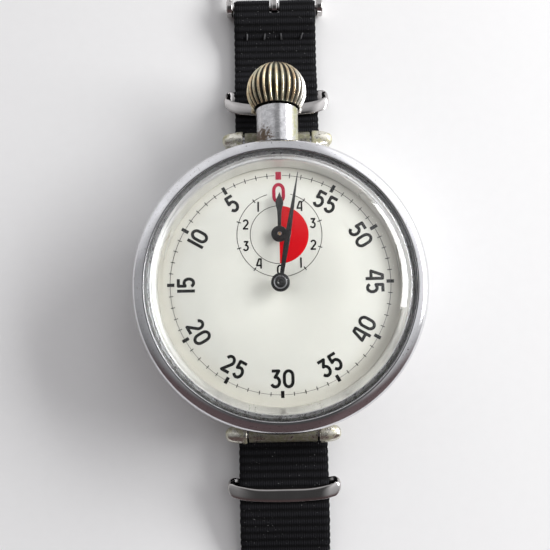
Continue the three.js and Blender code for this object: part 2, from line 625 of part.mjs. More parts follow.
function buildBuckle() {
  const barZ = (LOW_LAYER + LOOP_TOP) / 2;
  const bar = rod(BUCKLE_BAR_R, -BUCKLE_HALF_WIDTH, BUCKLE_HALF_WIDTH, "x", [0, BUCKLE_BAR_Y, barZ], 12);
  part("buckle_bar", bar, steel());

  const outer = new THREE.Shape();
  const farY = BUCKLE_BAR_Y + BUCKLE_LENGTH;
  const corner = 3;
  outer.moveTo(-BUCKLE_HALF_WIDTH, BUCKLE_BAR_Y);
  outer.lineTo(-BUCKLE_HALF_WIDTH, farY - corner);
  outer.absarc(-BUCKLE_HALF_WIDTH + corner, farY - corner, corner, Math.PI, Math.PI / 2, true);
  outer.absarc(BUCKLE_HALF_WIDTH - corner, farY - corner, corner, Math.PI / 2, 0, true);
  outer.lineTo(BUCKLE_HALF_WIDTH, BUCKLE_BAR_Y);
  const inner = BUCKLE_HALF_WIDTH - BUCKLE_WIRE;
  outer.lineTo(inner, BUCKLE_BAR_Y);
  outer.absarc(inner - corner + BUCKLE_WIRE, farY - corner, corner - BUCKLE_WIRE, 0, Math.PI / 2);
  outer.absarc(-inner + corner - BUCKLE_WIRE, farY - corner, corner - BUCKLE_WIRE, Math.PI / 2, Math.PI);
  outer.lineTo(-inner, BUCKLE_BAR_Y);
  let frame = plate(outer, barZ - 0.75, barZ + 0.75, 6);
  for (const hand of [-1, 1]) {
    const ends = [hand * inner, hand * BUCKLE_HALF_WIDTH].sort((a, b) => a - b);
    frame = frame.add(rod(1.8, ends[0], ends[1], "x", [0, BUCKLE_BAR_Y, barZ], 20));
  }
  const barHole = rod(BUCKLE_BAR_R + 0.06, -12, 12, "x", [0, BUCKLE_BAR_Y, barZ], 12);
  part("buckle_frame", frame.subtract(barHole), steel());

  const tongueTop = barZ + 0.75 + 0.1;
  const side = [
    [BUCKLE_BAR_Y - 1.1, barZ], [BUCKLE_BAR_Y - 0.7, barZ - 0.9], [BUCKLE_BAR_Y + 0.6, barZ - 1],
    [BUCKLE_BAR_Y + 1.2, barZ], [BUCKLE_BAR_Y + 8, tongueTop - 0.2], [farY - 1.6, tongueTop],
    [farY + 0.3, tongueTop + 0.05], [farY + 0.3, tongueTop + 0.5], [farY - 1.6, tongueTop + 0.75],
    [BUCKLE_BAR_Y + 6, tongueTop + 0.55], [BUCKLE_BAR_Y + 0.8, barZ + 1.15], [BUCKLE_BAR_Y - 0.7, barZ + 1],
  ];
  part("buckle_tongue", across(side, 0.85).subtract(barHole), steel());
}

// ---------------------------------------------------------------- movement frame
function buildFrame() {
  const stemSlot = block([-1.75, 12.9, 5], [1.75, 26, 12]);
  const arborHoles = [[0, 0], [0, SUB_DIAL_Y]].map((p) => at(rod(0.6, 5, 14, "z", [0, 0, 0], 12), p));
  let mainplate = disc(PLATE_R, PLATE_Z, PLATE_TOP_Z, 36).subtract(stemSlot);
  arborHoles.forEach((hole) => {
    mainplate = mainplate.subtract(hole);
  });
  part("mainplate", mainplate, nickel());

  // Each bridge is a flat plate on one pillar that stands on the mainplate.
  const bridge = (name, outline, pillar, holes) => {
    let body = plate(outline, BRIDGE_Z, BRIDGE_TOP_Z).add(
      at(disc(1.3, BRIDGE_Z + 0.1, PLATE_Z - 0.05, 12), pillar));
    holes.forEach(([place, r]) => {
      body = body.subtract(at(rod(r, 3, 7, "z", [0, 0, 0], 12), place));
    });
    const screwHole = at(rod(0.62, 3, 8, "z", [0, 0, 0], 12), pillar);
    part(name, body.subtract(screwHole), nickel());
    const screw = disc(1.1, BRIDGE_Z - 0.65, BRIDGE_Z - 0.05, 12).add(disc(0.55, BRIDGE_Z - 0.1, 7.9, 10));
    const slot = block([-2, -0.15, BRIDGE_Z - 0.9], [2, 0.15, BRIDGE_Z - 0.4]);
    part(`${name}_screw`, at(screw.subtract(slot), pillar), steel());
  };
  const barrelOutline = leverOutline([[-20.6, 6.2, 2], [...BARREL_AT, 4.2], [-3.5, 19.5, 2.2]]);
  bridge("barrel_bridge", barrelOutline, [-20.9, 5.6], [[BARREL_AT, 1.1]]);
  const trainOutline = leverOutline([[-15.6, -8.2, 2], [-9.5, -0.8, 2.4], [-3, -1.2, 2.6], [5.6, -4.6, 2.2]]);
  bridge("train_bridge", trainOutline, [-15.9, -8.6], [[[0, 0], 0.6]]);
  const cockOutline = leverOutline([[18.2, -11, 2], [...BALANCE_AT, 1.6]]);
  bridge("balance_cock", cockOutline, [18.6, -10.8], []);
}

// ---------------------------------------------------------------- going train
// A wheel and its pinion on one arbor, with the wheel crossed out to four spokes.
function arborSet({ wheel, wheelZ, pinion, pinionZ, arborR = 0.28, low = ARBOR_LOW_Z, high = ARBOR_HIGH_Z }) {
  let body = disc(arborR, low, high, 10);
  if (wheel) {
    const blank = plate(wheel.outline, wheelZ, wheelZ + 0.3);
    const window = ring(wheel.rim, wheel.hub, wheelZ - 1, wheelZ + 1, 16);
    const spokes = block([-wheel.rim - 1, -0.3, wheelZ - 2], [wheel.rim + 1, 0.3, wheelZ + 2])
      .add(block([-0.3, -wheel.rim - 1, wheelZ - 2], [0.3, wheel.rim + 1, wheelZ + 2]));
    body = body.add(blank.subtract(window.subtract(spokes)));
  }
  if (pinion) {
    body = body.add(plate(pinion, pinionZ[0], pinionZ[1]));
  }
  return body;
}

// The phase in degrees that puts a gap of the driven gear where a tooth of the driving gear points.
function meshPhase(driverTeeth, driverPhase, drivenTeeth, direction) {
  const driverPitch = 360 / driverTeeth;
  const drivenPitch = 360 / drivenTeeth;
  const offset = (((direction - driverPhase) % driverPitch) + driverPitch) % driverPitch;
  const share = offset / driverPitch;
  return direction + 180 + (share + 0.5) * drivenPitch;
}

function buildTrain() {
  const { seconds, third, second, barrel, escape } = TRAIN;
  const pinionForm = { tip: 0.5, root: 1.1, width: 0.3 };

  const toEscape = directionDeg([0, 0], ESCAPE_AT);
  const toThird = directionDeg(THIRD_AT, [0, 0]);
  const toSecond = directionDeg(SECOND_AT, THIRD_AT);
  const toBarrel = directionDeg(BARREL_AT, SECOND_AT);

  const secondsWheel = arborSet({
    wheel: { outline: gearOutline(seconds.teeth, seconds.module, 0), rim: 4, hub: 1.1 },
    wheelZ: 7.5,
    pinion: gearOutline(seconds.pinion, seconds.pinionModule,
      meshPhase(third.teeth, 0, seconds.pinion, toThird), pinionForm),
    pinionZ: [8.4, 9.1],
    low: 4.9,
    high: DIAL_Z + 2,
  });
  const takeOff = plate(gearOutline(SECONDS_PINION_TEETH, MINUTE_MODULE, 90, pinionForm), 11.17, 11.5);
  part("seconds_wheel", secondsWheel.add(takeOff), brass());

  const escapeSet = arborSet({
    pinion: gearOutline(escape.pinion, escape.pinionModule,
      meshPhase(seconds.teeth, 0, escape.pinion, toEscape), pinionForm),
    pinionZ: [7.35, 7.95],
    arborR: 0.22,
  });
  const escapeDisc = plate(escapeOutline(escape.teeth, escape.radius), 9.5, 9.75);
  part("escape_wheel", at(escapeSet.add(escapeDisc), ESCAPE_AT), steel());

  part("third_wheel", at(arborSet({
    wheel: { outline: gearOutline(third.teeth, third.module, 0), rim: 3.9, hub: 1.1 },
    wheelZ: 8.6,
    pinion: gearOutline(third.pinion, third.pinionModule,
      meshPhase(second.teeth, 0, third.pinion, toSecond), pinionForm),
    pinionZ: [6.45, 7.1],
  }), THIRD_AT), brass());

  part("second_wheel", at(arborSet({
    wheel: { outline: gearOutline(second.teeth, second.module, 0), rim: 3.9, hub: 1.2 },
    wheelZ: 6.6,
    pinion: gearOutline(second.pinion, second.pinionModule,
      meshPhase(barrel.teeth, 0, second.pinion, toBarrel), pinionForm),
    pinionZ: [9.65, 10.4],
  }), SECOND_AT), brass());

  const drum = plate(gearOutline(barrel.teeth, barrel.module, 0), 9.75, 10.25)
    .add(disc(7.3, 7.35, 10.25, 28))
    .subtract(disc(6.8, 7.0, 9.85, 28))
    .subtract(disc(0.95, 5, 12, 12));
  part("barrel", at(drum, BARREL_AT), brass());
  const cover = disc(7.3, 7.0, 7.25, 28).subtract(disc(0.95, 5, 12, 12));
  part("barrel_cover", at(cover, BARREL_AT), brass());
  part("mainspring", at(mainspring(), BARREL_AT), steel());
}

// The mainspring: a strip that winds outwards from the arbor to the drum's wall.
function mainspring() {
  const turns = 4;
  const steps = 12 * turns;
  const inner = [];
  const outer = [];
  for (let i = 0; i <= steps; i += 1) {
    const a = (i / steps) * turns * 2 * Math.PI;
    const r = 1.75 + ((6.6 - 1.75) * i) / steps;
    inner.push(new THREE.Vector2((r - 0.12) * Math.cos(a), (r - 0.12) * Math.sin(a)));
    outer.push(new THREE.Vector2((r + 0.12) * Math.cos(a), (r + 0.12) * Math.sin(a)));
  }
  return plate(new THREE.Shape([...outer, ...inner.reverse()]), 7.45, 9.7);
}

function buildEscapement() {
  // The fork's two pallets stand clear of the escape wheel's tooth tips in the rest position.
  const toEscape = directionDeg(FORK_AT, ESCAPE_AT);
  const reach = TRAIN.escape.radius + 0.28;
  const pallets = [-1, 1].map((side) => {
    const place = polar(ESCAPE_AT, reach + 0.25, toEscape + 180 + side * 40);
    return [place[0] - FORK_AT[0], place[1] - FORK_AT[1]];
  });
  const lever = polar([0, 0], 3.3, toEscape + 180);
  const armSets = pallets.map(([x, y]) => leverOutline([[0, 0, 0.42], [x, y, 0.22]]));
  let fork = disc(0.25, BRIDGE_TOP_Z + 0.08, PLATE_Z - 0.08, 10)
    .add(plate(leverOutline([[0, 0, 0.5], [lever[0], lever[1], 0.25]]), 9.5, 9.75));
  armSets.forEach((outline) => {
    fork = fork.add(plate(outline, 9.5, 9.75));
  });
  part("pallet_fork", at(fork, FORK_AT), steel());

  const spokes = block([-BALANCE_R + 0.3, -0.3, 7.15], [BALANCE_R - 0.3, 0.3, 7.5])
    .add(disc(0.9, 7.05, 7.6, 16))
    .add(disc(0.85, 9.4, 9.8, 16));
  const balance = ring(BALANCE_R, BALANCE_R - 0.7, 7.0, 7.7, 28)
    .add(spokes)
    .add(disc(0.22, BRIDGE_TOP_Z + 0.08, PLATE_Z - 0.08, 10));
  part("balance_wheel", at(balance, BALANCE_AT), brass());
  part("hairspring", at(hairspring(), BALANCE_AT), steel());
}

// The hairspring: a flat strip coiled above the balance, from the collet out to the stud.
function hairspring() {
  const turns = 3;
  const steps = 10 * turns;
  const inner = [];
  const outer = [];
  for (let i = 0; i <= steps; i += 1) {
    const a = (i / steps) * turns * 2 * Math.PI;
    const r = 0.55 + ((2.6 - 0.55) * i) / steps;
    inner.push(new THREE.Vector2((r - 0.05) * Math.cos(a), (r - 0.05) * Math.sin(a)));
    outer.push(new THREE.Vector2((r + 0.05) * Math.cos(a), (r + 0.05) * Math.sin(a)));
  }
  return plate(new THREE.Shape([...outer, ...inner.reverse()]), 6.6, 6.85);
}

// ---------------------------------------------------------------- minute work under the dial
function buildMinuteWork() {
  const pinionForm = { tip: 0.5, root: 1.1, width: 0.3 };
  const idlerPhase = meshPhase(SECONDS_PINION_TEETH, 90, IDLER_TEETH, 90);
  const idler = plate(gearOutline(IDLER_TEETH, MINUTE_MODULE, idlerPhase), 11.2, 11.45)
    .add(plate(gearOutline(IDLER_PINION_TEETH, MINUTE_MODULE_2, 90, pinionForm), 11.4, 11.85));
  part("minute_idler_wheel", at(idler, [0, IDLER_Y]), brass());

  const minutePhase = meshPhase(IDLER_PINION_TEETH, 90, MINUTE_TEETH, 90);
  const minute = plate(gearOutline(MINUTE_TEETH, MINUTE_MODULE_2, minutePhase), 11.62, 11.85)
    .add(disc(0.28, 4.9, DIAL_Z + 1.1, 10));
  part("minute_wheel", at(minute, [0, SUB_DIAL_Y]), brass());
}

// ---------------------------------------------------------------- winding work
function buildWinding() {
  const clutch = rod(1.45, 15.7, 17.7, "y", [0, 0, CROWN_Z], 16);
  const bore = block([-0.52, 10, CROWN_Z - 0.52], [0.52, 30, CROWN_Z + 0.52]);
  part("winding_pinion", clutch.subtract(bore), steel());

  const faceGear = gearOutline(24, 0.2, 0);
  const toCrownWheel = directionDeg(BARREL_AT, CROWN_WHEEL_AT);
  const crownWheelPhase = meshPhase(RATCHET_TEETH, 0, CROWN_WHEEL_TEETH, toCrownWheel);
  const toRatchet = gearOutline(CROWN_WHEEL_TEETH, WIND_MODULE, crownWheelPhase);
  const crownWheel = plate(toRatchet, WIND_LOW_Z, WIND_HIGH_Z)
    .add(disc(0.8, WIND_LOW_Z + 0.1, 8.3, 12))
    .add(plate(faceGear, 8.2, 8.65));
  part("crown_wheel", at(crownWheel, CROWN_WHEEL_AT), steel());

  const square = block([-0.7, -0.7, 4], [0.7, 0.7, 6]);
  const ratchet = plate(gearOutline(RATCHET_TEETH, WIND_MODULE, 0), WIND_LOW_Z, WIND_HIGH_Z)
    .subtract(square);
  part("ratchet_wheel", at(ratchet, BARREL_AT), steel());
  const arbor = block([-0.6, -0.6, 4.35], [0.6, 0.6, 5.5])
    .add(disc(0.85, 5.3, PLATE_Z - 0.08, 12))
    .add(disc(1.5, 7.45, 9.7, 14));
  part("barrel_arbor", at(arbor, BARREL_AT), steel());

  const clickAt = polar(BARREL_AT, 11.7, -100);
  const toBarrel = directionDeg(clickAt, BARREL_AT);
  const nose = polar([0, 0], 2.2, toBarrel + 22);
  const tail = polar([0, 0], 1.6, toBarrel - 150);
  const click = plate(leverOutline([[...tail, 0.45], [0, 0, 0.8], [...nose, 0.3]]), WIND_LOW_Z, WIND_HIGH_Z)
    .subtract(rod(0.36, 3, 7, "z", [0, 0, 0], 10));
  part("click", at(click, clickAt), steel());
  const springFrom = polar(clickAt, 2.75, toBarrel - 120);
  const springTo = polar(clickAt, 8, toBarrel - 100);
  const springOutline = leverOutline([[...springFrom, 0.15], [...springTo, 0.35]]);
  part("click_spring", plate(springOutline, WIND_LOW_Z, WIND_HIGH_Z), steel());
}

// ---------------------------------------------------------------- start, stop and return work
function buildControl() {
  part("seconds_heart_cam", plate(heartOutline(0.9, 1.7), 4.35, 4.8)
    .subtract(disc(0.2, 3, 6, 10)).add(disc(0.32, 4.3, 4.8, 10)), steel());
  part("minute_heart_cam", at(plate(heartOutline(0.8, 1.5), 4.35, 4.8), [0, SUB_DIAL_Y]), steel());

  const columnAt = [9.5, 13.2];
  let column = disc(2.2, 4.4, 5.1, 24);
  for (let i = 0; i < 6; i += 1) {
    const pillar = polar([0, 0], 1.6, i * 60);
    column = column.add(at(disc(0.4, 3.75, 4.5, 8), pillar));
  }
  part("column_wheel", at(column, columnAt), steel());

  const hammerAt = [7.2, 5.4];
  const hammer = plate(leverOutline([[-4.6, -4.1, 0.5], [0, 0, 0.8], [-4.9, 4.3, 0.5]]), 4.35, 4.8)
    .subtract(rod(0.4, 3, 7, "z", [0, 0, 0], 10));
  part("reset_hammer", at(hammer, hammerAt), steel());

  const leverAt = [5.6, 18];
  const operating = plate(leverOutline([[-4.4, 2.6, 0.5], [0, 0, 0.9], [1.3, -2.3, 0.4]]), 3.75, 4.25)
    .add(at(disc(0.35, 4.1, 9.5, 10), [-4.4, 2.75]))
    .subtract(rod(0.4, 3, 7, "z", [0, 0, 0], 10));
  part("operating_lever", at(operating, leverAt), steel());

  const brakeAt = [15, -1.4];
  const brake = plate(leverOutline([[-2.9, 12.7, 0.4], [0, 0, 0.8], [-1.35, -4.3, 0.3]]), 4.35, 4.8)
    .add(at(disc(0.25, 4.7, 7.6, 10), [-1.35, -4.3]))
    .subtract(rod(0.4, 3, 7, "z", [0, 0, 0], 10));
  part("brake_lever", at(brake, brakeAt), steel());
}

buildCase();
buildDial();
buildHands();
buildCrown();
buildLugs();
buildStrap();
keeper("keeper_upper", KEEPER_UPPER_Y, 0, KEEPER_UPPER_LEAN);
keeper("keeper_lower", KEEPER_LOWER_Y, LOWER_KEEPER_Z, KEEPER_LOWER_LEAN);
buildBuckle();
buildFrame();
buildTrain();
buildEscapement();
buildMinuteWork();
buildWinding();
buildControl();

export default stopwatch;
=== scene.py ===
import json
from itertools import accumulate
from math import copysign, cos, dist, hypot, pi, radians, sin, sqrt

import bmesh
import bpy
from mathutils import Matrix, Vector, noise
from mathutils.geometry import delaunay_2d_cdt


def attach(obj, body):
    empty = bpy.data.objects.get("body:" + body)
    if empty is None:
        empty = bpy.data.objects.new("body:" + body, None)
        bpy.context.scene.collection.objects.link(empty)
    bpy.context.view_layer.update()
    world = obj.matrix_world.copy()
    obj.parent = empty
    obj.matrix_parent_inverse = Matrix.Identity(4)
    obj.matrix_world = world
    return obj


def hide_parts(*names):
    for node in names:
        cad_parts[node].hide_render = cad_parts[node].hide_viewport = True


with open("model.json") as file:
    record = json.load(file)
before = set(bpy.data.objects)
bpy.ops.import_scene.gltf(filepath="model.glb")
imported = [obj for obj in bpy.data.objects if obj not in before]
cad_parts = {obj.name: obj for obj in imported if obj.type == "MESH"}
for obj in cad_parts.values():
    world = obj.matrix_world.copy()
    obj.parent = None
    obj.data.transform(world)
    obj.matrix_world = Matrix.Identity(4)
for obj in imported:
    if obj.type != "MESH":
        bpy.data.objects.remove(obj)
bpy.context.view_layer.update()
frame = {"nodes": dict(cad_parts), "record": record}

MM = 0.001
TAU = 2 * pi

# ---- dimensions, millimetres
STRAP_HALF = 9
STRAP_T = 1.1
RIB_PITCH = 1.5
RIB_RELIEF = 0.17
YARN_PITCH = 0.46
LAYER_GAP = 0.1
LOW_LAYER = STRAP_T / 2
UPPER_LAYER = LOW_LAYER + STRAP_T + LAYER_GAP
TAIL_END_Y = -172
TAIL_POINT = 9
HOLE_COUNT = 9
HOLE_PITCH = 7
HOLE_R = 0.9
FIRST_HOLE_Y = -98
SLOT_HALF = 1.1
SLOT_DEPTH = 1.95
STITCH_Y = 54.95
STITCH_LENGTH = 1.25
KEEPER_WIDTH = 22.8
KEEPER_BAR = 0.7
KEEPER_SIDE = 0.9
KEEPER_OUTER_SQUARE = 3.5
KEEPER_INNER_SQUARE = 7
KEEPER_BOW = 1.1
KEEPER_DEPTH = 2.6
KEEPER_HEIGHT = 3.9
KEEPER_UPPER = (38.5, 0, 1.2)
KEEPER_LOWER = (-41.6, STRAP_T + LAYER_GAP, 0.3)
KEEPER_LIFT = KEEPER_BAR + LAYER_GAP
UNDER_AT_LOWER = KEEPER_LOWER[1] + KEEPER_BAR + LAYER_GAP + STRAP_T / 2
BUCKLE_BAR_Y = 62.6
BUCKLE_BAR_R = 0.6
BUCKLE_LENGTH = 12.5
BUCKLE_HALF_WIDTH = 10.6
BUCKLE_WIRE = 1.35
BUCKLE_EYE_R = 1.8
LOOP_TOP = LOW_LAYER + STRAP_T + 2 * (BUCKLE_BAR_R + 0.1)
BUCKLE_Z = (LOW_LAYER + LOOP_TOP) / 2

BACK_Z = 2.6
BAND_Z = 5
BAND_TOP_Z = 12.5
BAND_R = 27.3
BAND_INNER_R = 25.6
BEZEL_R = 28.5
BEZEL_INNER_R = 26
BEZEL_TOP_Z = 15.1
BEZEL_CREST_R = BEZEL_INNER_R + 0.35
BEZEL_BROW = 1.6
BROW_START = 0.25  # radians that the brow leans over where it leaves the crest
STEM_HOLE_R = 1.1
CRYSTAL_R = 25.85
CRYSTAL_TOP_R = 24.1
CRYSTAL_SHOULDER_Z = 17.5
CRYSTAL_TOP_Z = 19
CRYSTAL_T = 1.3
CRYSTAL_SEAT_R = 24.7
CRYSTAL_SCUFFED_R = 24.2
DIAL_Z = 12.4
DIAL_R = 24.4
REHAUT_INNER_R = 23.3
SUB_DIAL_Y = 9.52
SWEEP_REST = radians(10)
MINUTE_REST = radians(1)

CROWN_Z = 10.2
CROWN_R = 6.1
CROWN_Y = 39.65
CROWN_FLATTENING = 0.955
CROWN_TRAVEL = 1.2
FLUTES = 28
FLUTE_DEPTH = 0.58
CROWN_LATITUDES = (-0.68, 1.32)
TUBE_R = 4.25
TUBE_BORE_R = 2.4
TUBE_END_Y = 35.65
LUG_Z = 6
LUG_TOP_Y = 30.8
LUG_BOTTOM_Y = -29.4
KNUCKLE_R = 1.65
KNUCKLE_HALF = 6.8
WEB_INNER_Y = 25.5
EAR_R = 1.9
EAR_TIP_R = 0.9
EAR_INNER_X = 7.15
EAR_OUTER_X = 11.3
ARM_INNER_X = 9.3
PIN_R = 0.8
LUG_BAR_R = 0.75
LUG_BAR_Z = 2
OVER_LUG_BAR = LUG_BAR_Z + LUG_BAR_R + LAYER_GAP + STRAP_T / 2

# ---- lamp, room and camera: metres, watts, degrees and pixels
LAMP_PLACE = (0.597, 0.19, 0.255)
LAMP_SIZE = (0.6, 0.22)
LAMP_WATTS = 6.35
FLOOR_HALF = 1.5
ROOM_NEUTRAL = (0.98, 0.98, 1.0)
ROOM_SOUTH = (1.0, 0.72, 0.74)
PICTURE_WIDTH = 550
FOCAL_PIXELS = 600
SENSOR_WIDTH = 36  # millimetres, as Blender counts it
CAMERA_PLACE = (-0.84 * MM, -11.25 * MM, 128.24 * MM)
CAMERA_TILT, CAMERA_LEAN, CAMERA_ROLL = 6.36, 0.09, -1.15


# ---- node trees and materials
class Tree:
    """Short calls that add the nodes that feed one shader of a node tree."""

    def __init__(self, owner, shader, coords):
        owner.use_nodes = True
        self.tree = owner.node_tree
        self.shader = self.tree.nodes[shader]
        self.coords = self.add("ShaderNodeTexCoord").outputs[coords]

    def add(self, kind, inputs=(), **settings):
        node = self.tree.nodes.new(kind)
        for key, value in settings.items():
            setattr(node, key, value)
        for key, value in dict(inputs).items():
            if isinstance(value, bpy.types.NodeSocket):
                self.tree.links.new(value, node.inputs[key])
            else:
                node.inputs[key].default_value = value
        return node

    def span(self, value, low, high, out_low=0.0, out_high=1.0):
        """value carried from low..high to out_low..out_high, held at the ends."""
        inputs = {"Value": value, "From Min": low, "From Max": high, "To Min": out_low, "To Max": out_high}
        return self.add("ShaderNodeMapRange", inputs).outputs[0]

    def maths(self, kind, a, b=0.0):
        return self.add("ShaderNodeMath", {0: a, 1: b}, operation=kind).outputs[0]

    def mix(self, share, a, b):
        """Colour a where share is 0 and b where it is 1."""
        a, b = (c if isinstance(c, bpy.types.NodeSocket) else (*c, 1) for c in (a, b))
        return self.add("ShaderNodeMix", {0: share, 6: a, 7: b}, data_type="RGBA").outputs[2]

    def axis(self, which):
        node = self.add("ShaderNodeSeparateXYZ", {0: self.coords})
        return node.outputs["XYZ".index(which)]

    def feed(self, socket, value):
        self.tree.links.new(value, self.shader.inputs[socket])
        return self


class Nodes(Tree):
    """A material with a Principled shader."""

    def __init__(self, name, metallic=0.0, roughness=0.5, **constants):
        self.material = bpy.data.materials.new(name)
        super().__init__(self.material, "Principled BSDF", "Object")
        constants.update(Metallic=metallic, Roughness=roughness)
        for key, value in constants.items():
            self.shader.inputs[key.replace("_", " ")].default_value = value

    def scaled(self, x, y, z):
        """The object coordinates with each axis stretched, in features per metre."""
        return self.add("ShaderNodeMapping", {"Vector": self.coords, "Scale": (x, y, z)}).outputs[0]

    def noise(self, size_mm, detail=3.0, rough=0.6, vector=None):
        """Noise whose blotches are about size_mm wide."""
        inputs = {"Vector": vector or self.coords, "Scale": 1 / (size_mm * MM) if vector is None else 1.0,
                  "Detail": detail, "Roughness": rough}
        return self.add("ShaderNodeTexNoise", inputs).outputs["Fac"]

    def ramp(self, value, *stops):
        """A colour ramp through (position, colour) stops."""
        node = self.add("ShaderNodeValToRGB", {"Fac": value})
        elements = node.color_ramp.elements
        while len(elements) < len(stops):
            elements.new(0.5)
        for element, (place, colour) in zip(elements, stops):
            element.position = place
            element.color = (*colour, 1)
        return node.outputs["Color"]

    def radius(self):
        """The distance from the dial's axis."""
        squares = [self.maths("POWER", self.axis(which), 2.0) for which in "XY"]
        return self.maths("POWER", self.maths("ADD", *squares), 0.5)

    def attribute(self, name):
        return self.add("ShaderNodeAttribute", attribute_name=name).outputs["Fac"]

    def colour(self, value):
        return self.feed("Base Color", value)

    def rough(self, value):
        return self.feed("Roughness", value)

    def bump(self, height, depth_mm, strength=1.0):
        inputs = {"Height": height, "Distance": depth_mm * MM, "Strength": strength}
        return self.feed("Normal", self.add("ShaderNodeBump", inputs).outputs[0])


def polished(name, tint, low=0.06, high=0.2, scratch=0.004, stretch=(1, 1, 1), pits=0.0):
    """Plated or polished metal: soft blotches in the shine, hair scratches and a few dark pits."""
    m = Nodes(name, metallic=1.0)
    blotch = m.noise(6, 4)
    hair = m.noise(1, 6, 0.7, m.scaled(*(s / (0.9 * MM) for s in stretch)))
    speck = m.noise(0.35, 2)
    shade = m.mix(m.span(blotch, 0.35, 0.7), tint, tuple(0.86 * c for c in tint))
    if pits:
        shade = m.mix(m.span(speck, 0.68 - pits, 0.74, 0, 0.75), shade, (0.12, 0.09, 0.07))
    m.colour(shade).rough(m.span(m.maths("ADD", blotch, m.maths("MULTIPLY", hair, 0.5)), 0.5, 1.0, low, high))
    return m.bump(hair, scratch, 0.5).material


def corroded(name, metal, stain, dirt, amount=0.5, rough=(0.18, 0.6)):
    """Old plating that has gone dull and stained in patches, with crusted spots."""
    m = Nodes(name)
    patch = m.noise(1.6, 5, 0.65)
    crust = m.noise(0.45, 5, 0.7)
    worn = m.span(patch, 0.62 - amount * 0.3, 0.72 - amount * 0.22)
    spots = m.span(crust, 0.62 - amount * 0.1, 0.7 - amount * 0.1)
    m.colour(m.mix(spots, m.mix(worn, metal, stain), dirt))
    m.rough(m.span(m.maths("ADD", worn, spots), 0, 1.2, *rough))
    m.feed("Metallic", m.span(m.maths("ADD", worn, spots), 0, 1.4, 1.0, 0.35))
    return m.bump(m.maths("ADD", patch, crust), 0.05, 0.7).material


def pendant_chrome():
    """Bright plating that is green and cream along the right-hand edge, with dark brown patches that gather
    at the foot on the left.
    """
    m = Nodes("chrome_pendant")
    patch = m.noise(1.3, 5, 0.65)
    crust = m.noise(0.5, 4, 0.7)
    right = m.span(m.axis("X"), 1.7 * MM, 3.6 * MM)
    foot = m.span(m.axis("Y"), 33.5 * MM, 29.5 * MM)
    left_foot = m.maths("MULTIPLY", foot, m.span(m.axis("X"), 0.5 * MM, -2.5 * MM))
    green = m.span(m.maths("ADD", m.maths("MULTIPLY", right, 0.46), patch), 0.74, 1.02)
    # dark brown patches, most of them at the left-hand side of the foot where the tube meets the case
    dark_patches = m.span(m.maths("ADD", m.maths("MULTIPLY", left_foot, 0.42), crust), 0.72, 0.86)
    metal = m.mix(m.span(patch, 0.4, 0.7), (0.63, 0.63, 0.64), (0.44, 0.44, 0.45))
    m.colour(m.mix(dark_patches, m.mix(green, metal, (0.30, 0.30, 0.18)), (0.13, 0.09, 0.06)))
    stained = m.maths("ADD", green, dark_patches)
    m.rough(m.span(stained, 0, 1, 0.13, 0.5)).feed("Metallic", m.span(stained, 0, 1, 1.0, 0.45))
    return m.bump(m.maths("ADD", patch, crust), 0.04, 0.5).material


def worn_crown():
    """Plating worn through to brass on the crests of the flutes, dark dirt between them, and a painted
    highlight that turns the crests on the right-hand flank pale.
    """
    m = Nodes("crown_worn_plate", metallic=1.0)
    crest = m.attribute("crest")
    patch = m.noise(2.2, 4)
    fine = m.noise(0.35, 4, 0.7)
    # painted highlight: crests paler and whiter on the right-hand flank, the side facing the lamp
    bright = m.span(m.maths("ADD", m.axis("X"), m.maths("MULTIPLY", patch, 0.003)), 4.6 * MM, 7 * MM)
    brass = m.ramp(patch, (0.35, (0.62, 0.45, 0.28)), (0.5, (0.80, 0.69, 0.46)), (0.62, (0.70, 0.66, 0.50)))
    top = m.mix(bright, brass, (0.82, 0.81, 0.78))
    low = m.mix(m.span(patch, 0.5, 0.7), (0.022, 0.018, 0.012), (0.10, 0.115, 0.07))
    line = m.span(m.maths("ADD", crest, m.maths("MULTIPLY", fine, 0.3)), 0.62, 0.95)
    m.colour(m.mix(line, low, top)).rough(m.span(line, 0, 1, 0.75, 0.26))
    m.feed("Metallic", m.span(line, 0, 1, 0.2, 1.0))
    return m.bump(fine, 0.05, 0.6).material


def webbing():
    """Black ribbed nylon: painted highlight on the rib crests and painted shade in the grooves, fine upright
    yarns over them, and a little pale dust.
    """
    m = Nodes("webbing_black", roughness=0.85, Sheen_Weight=0.04, Sheen_Roughness=0.5,
              Sheen_Tint=(0.5, 0.5, 0.62, 1), Specular_IOR_Level=0.14)
    rib = m.attribute("rib")
    across = m.attribute("across")
    wander = m.maths("MULTIPLY", m.noise(1.2, 2), 2.2)
    yarn = m.maths("SINE", m.maths("ADD", m.maths("MULTIPLY", across, TAU / YARN_PITCH), wander))
    fuzz = m.noise(0.25, 4, 0.7)
    blotch = m.noise(4, 3)
    dust = m.span(m.noise(0.3, 1), 0.75, 0.785)
    strands = m.span(m.maths("ADD", yarn, blotch), -0.6, 1.5, 0.6, 1.0)
    # painted light: rib crests paler and grooves darker, times the yarn pattern
    crest_light_and_yarns = m.maths("MULTIPLY", m.span(rib, 0.5, 1.0), strands)
    base = m.mix(crest_light_and_yarns, (0.0016, 0.0016, 0.0020), (0.0115, 0.0115, 0.0140))
    m.colour(m.mix(m.maths("MULTIPLY", dust, 0.7), base, (0.38, 0.38, 0.38)))
    m.rough(m.span(fuzz, 0.3, 0.7, 0.66, 0.92))
    threads = m.maths("MULTIPLY", m.maths("MULTIPLY", yarn, rib), 0.45)
    height = m.maths("ADD", threads, m.maths("MULTIPLY", fuzz, 1.5))
    return m.bump(height, 0.09, 0.9).material


def sealed_nylon():
    m = Nodes("nylon_sealed")
    melt = m.noise(0.4, 4)
    m.colour(m.mix(melt, (0.006, 0.006, 0.007), (0.03, 0.03, 0.032))).rough(m.span(melt, 0.3, 0.7, 0.3, 0.6))
    return m.bump(melt, 0.08, 0.6).material


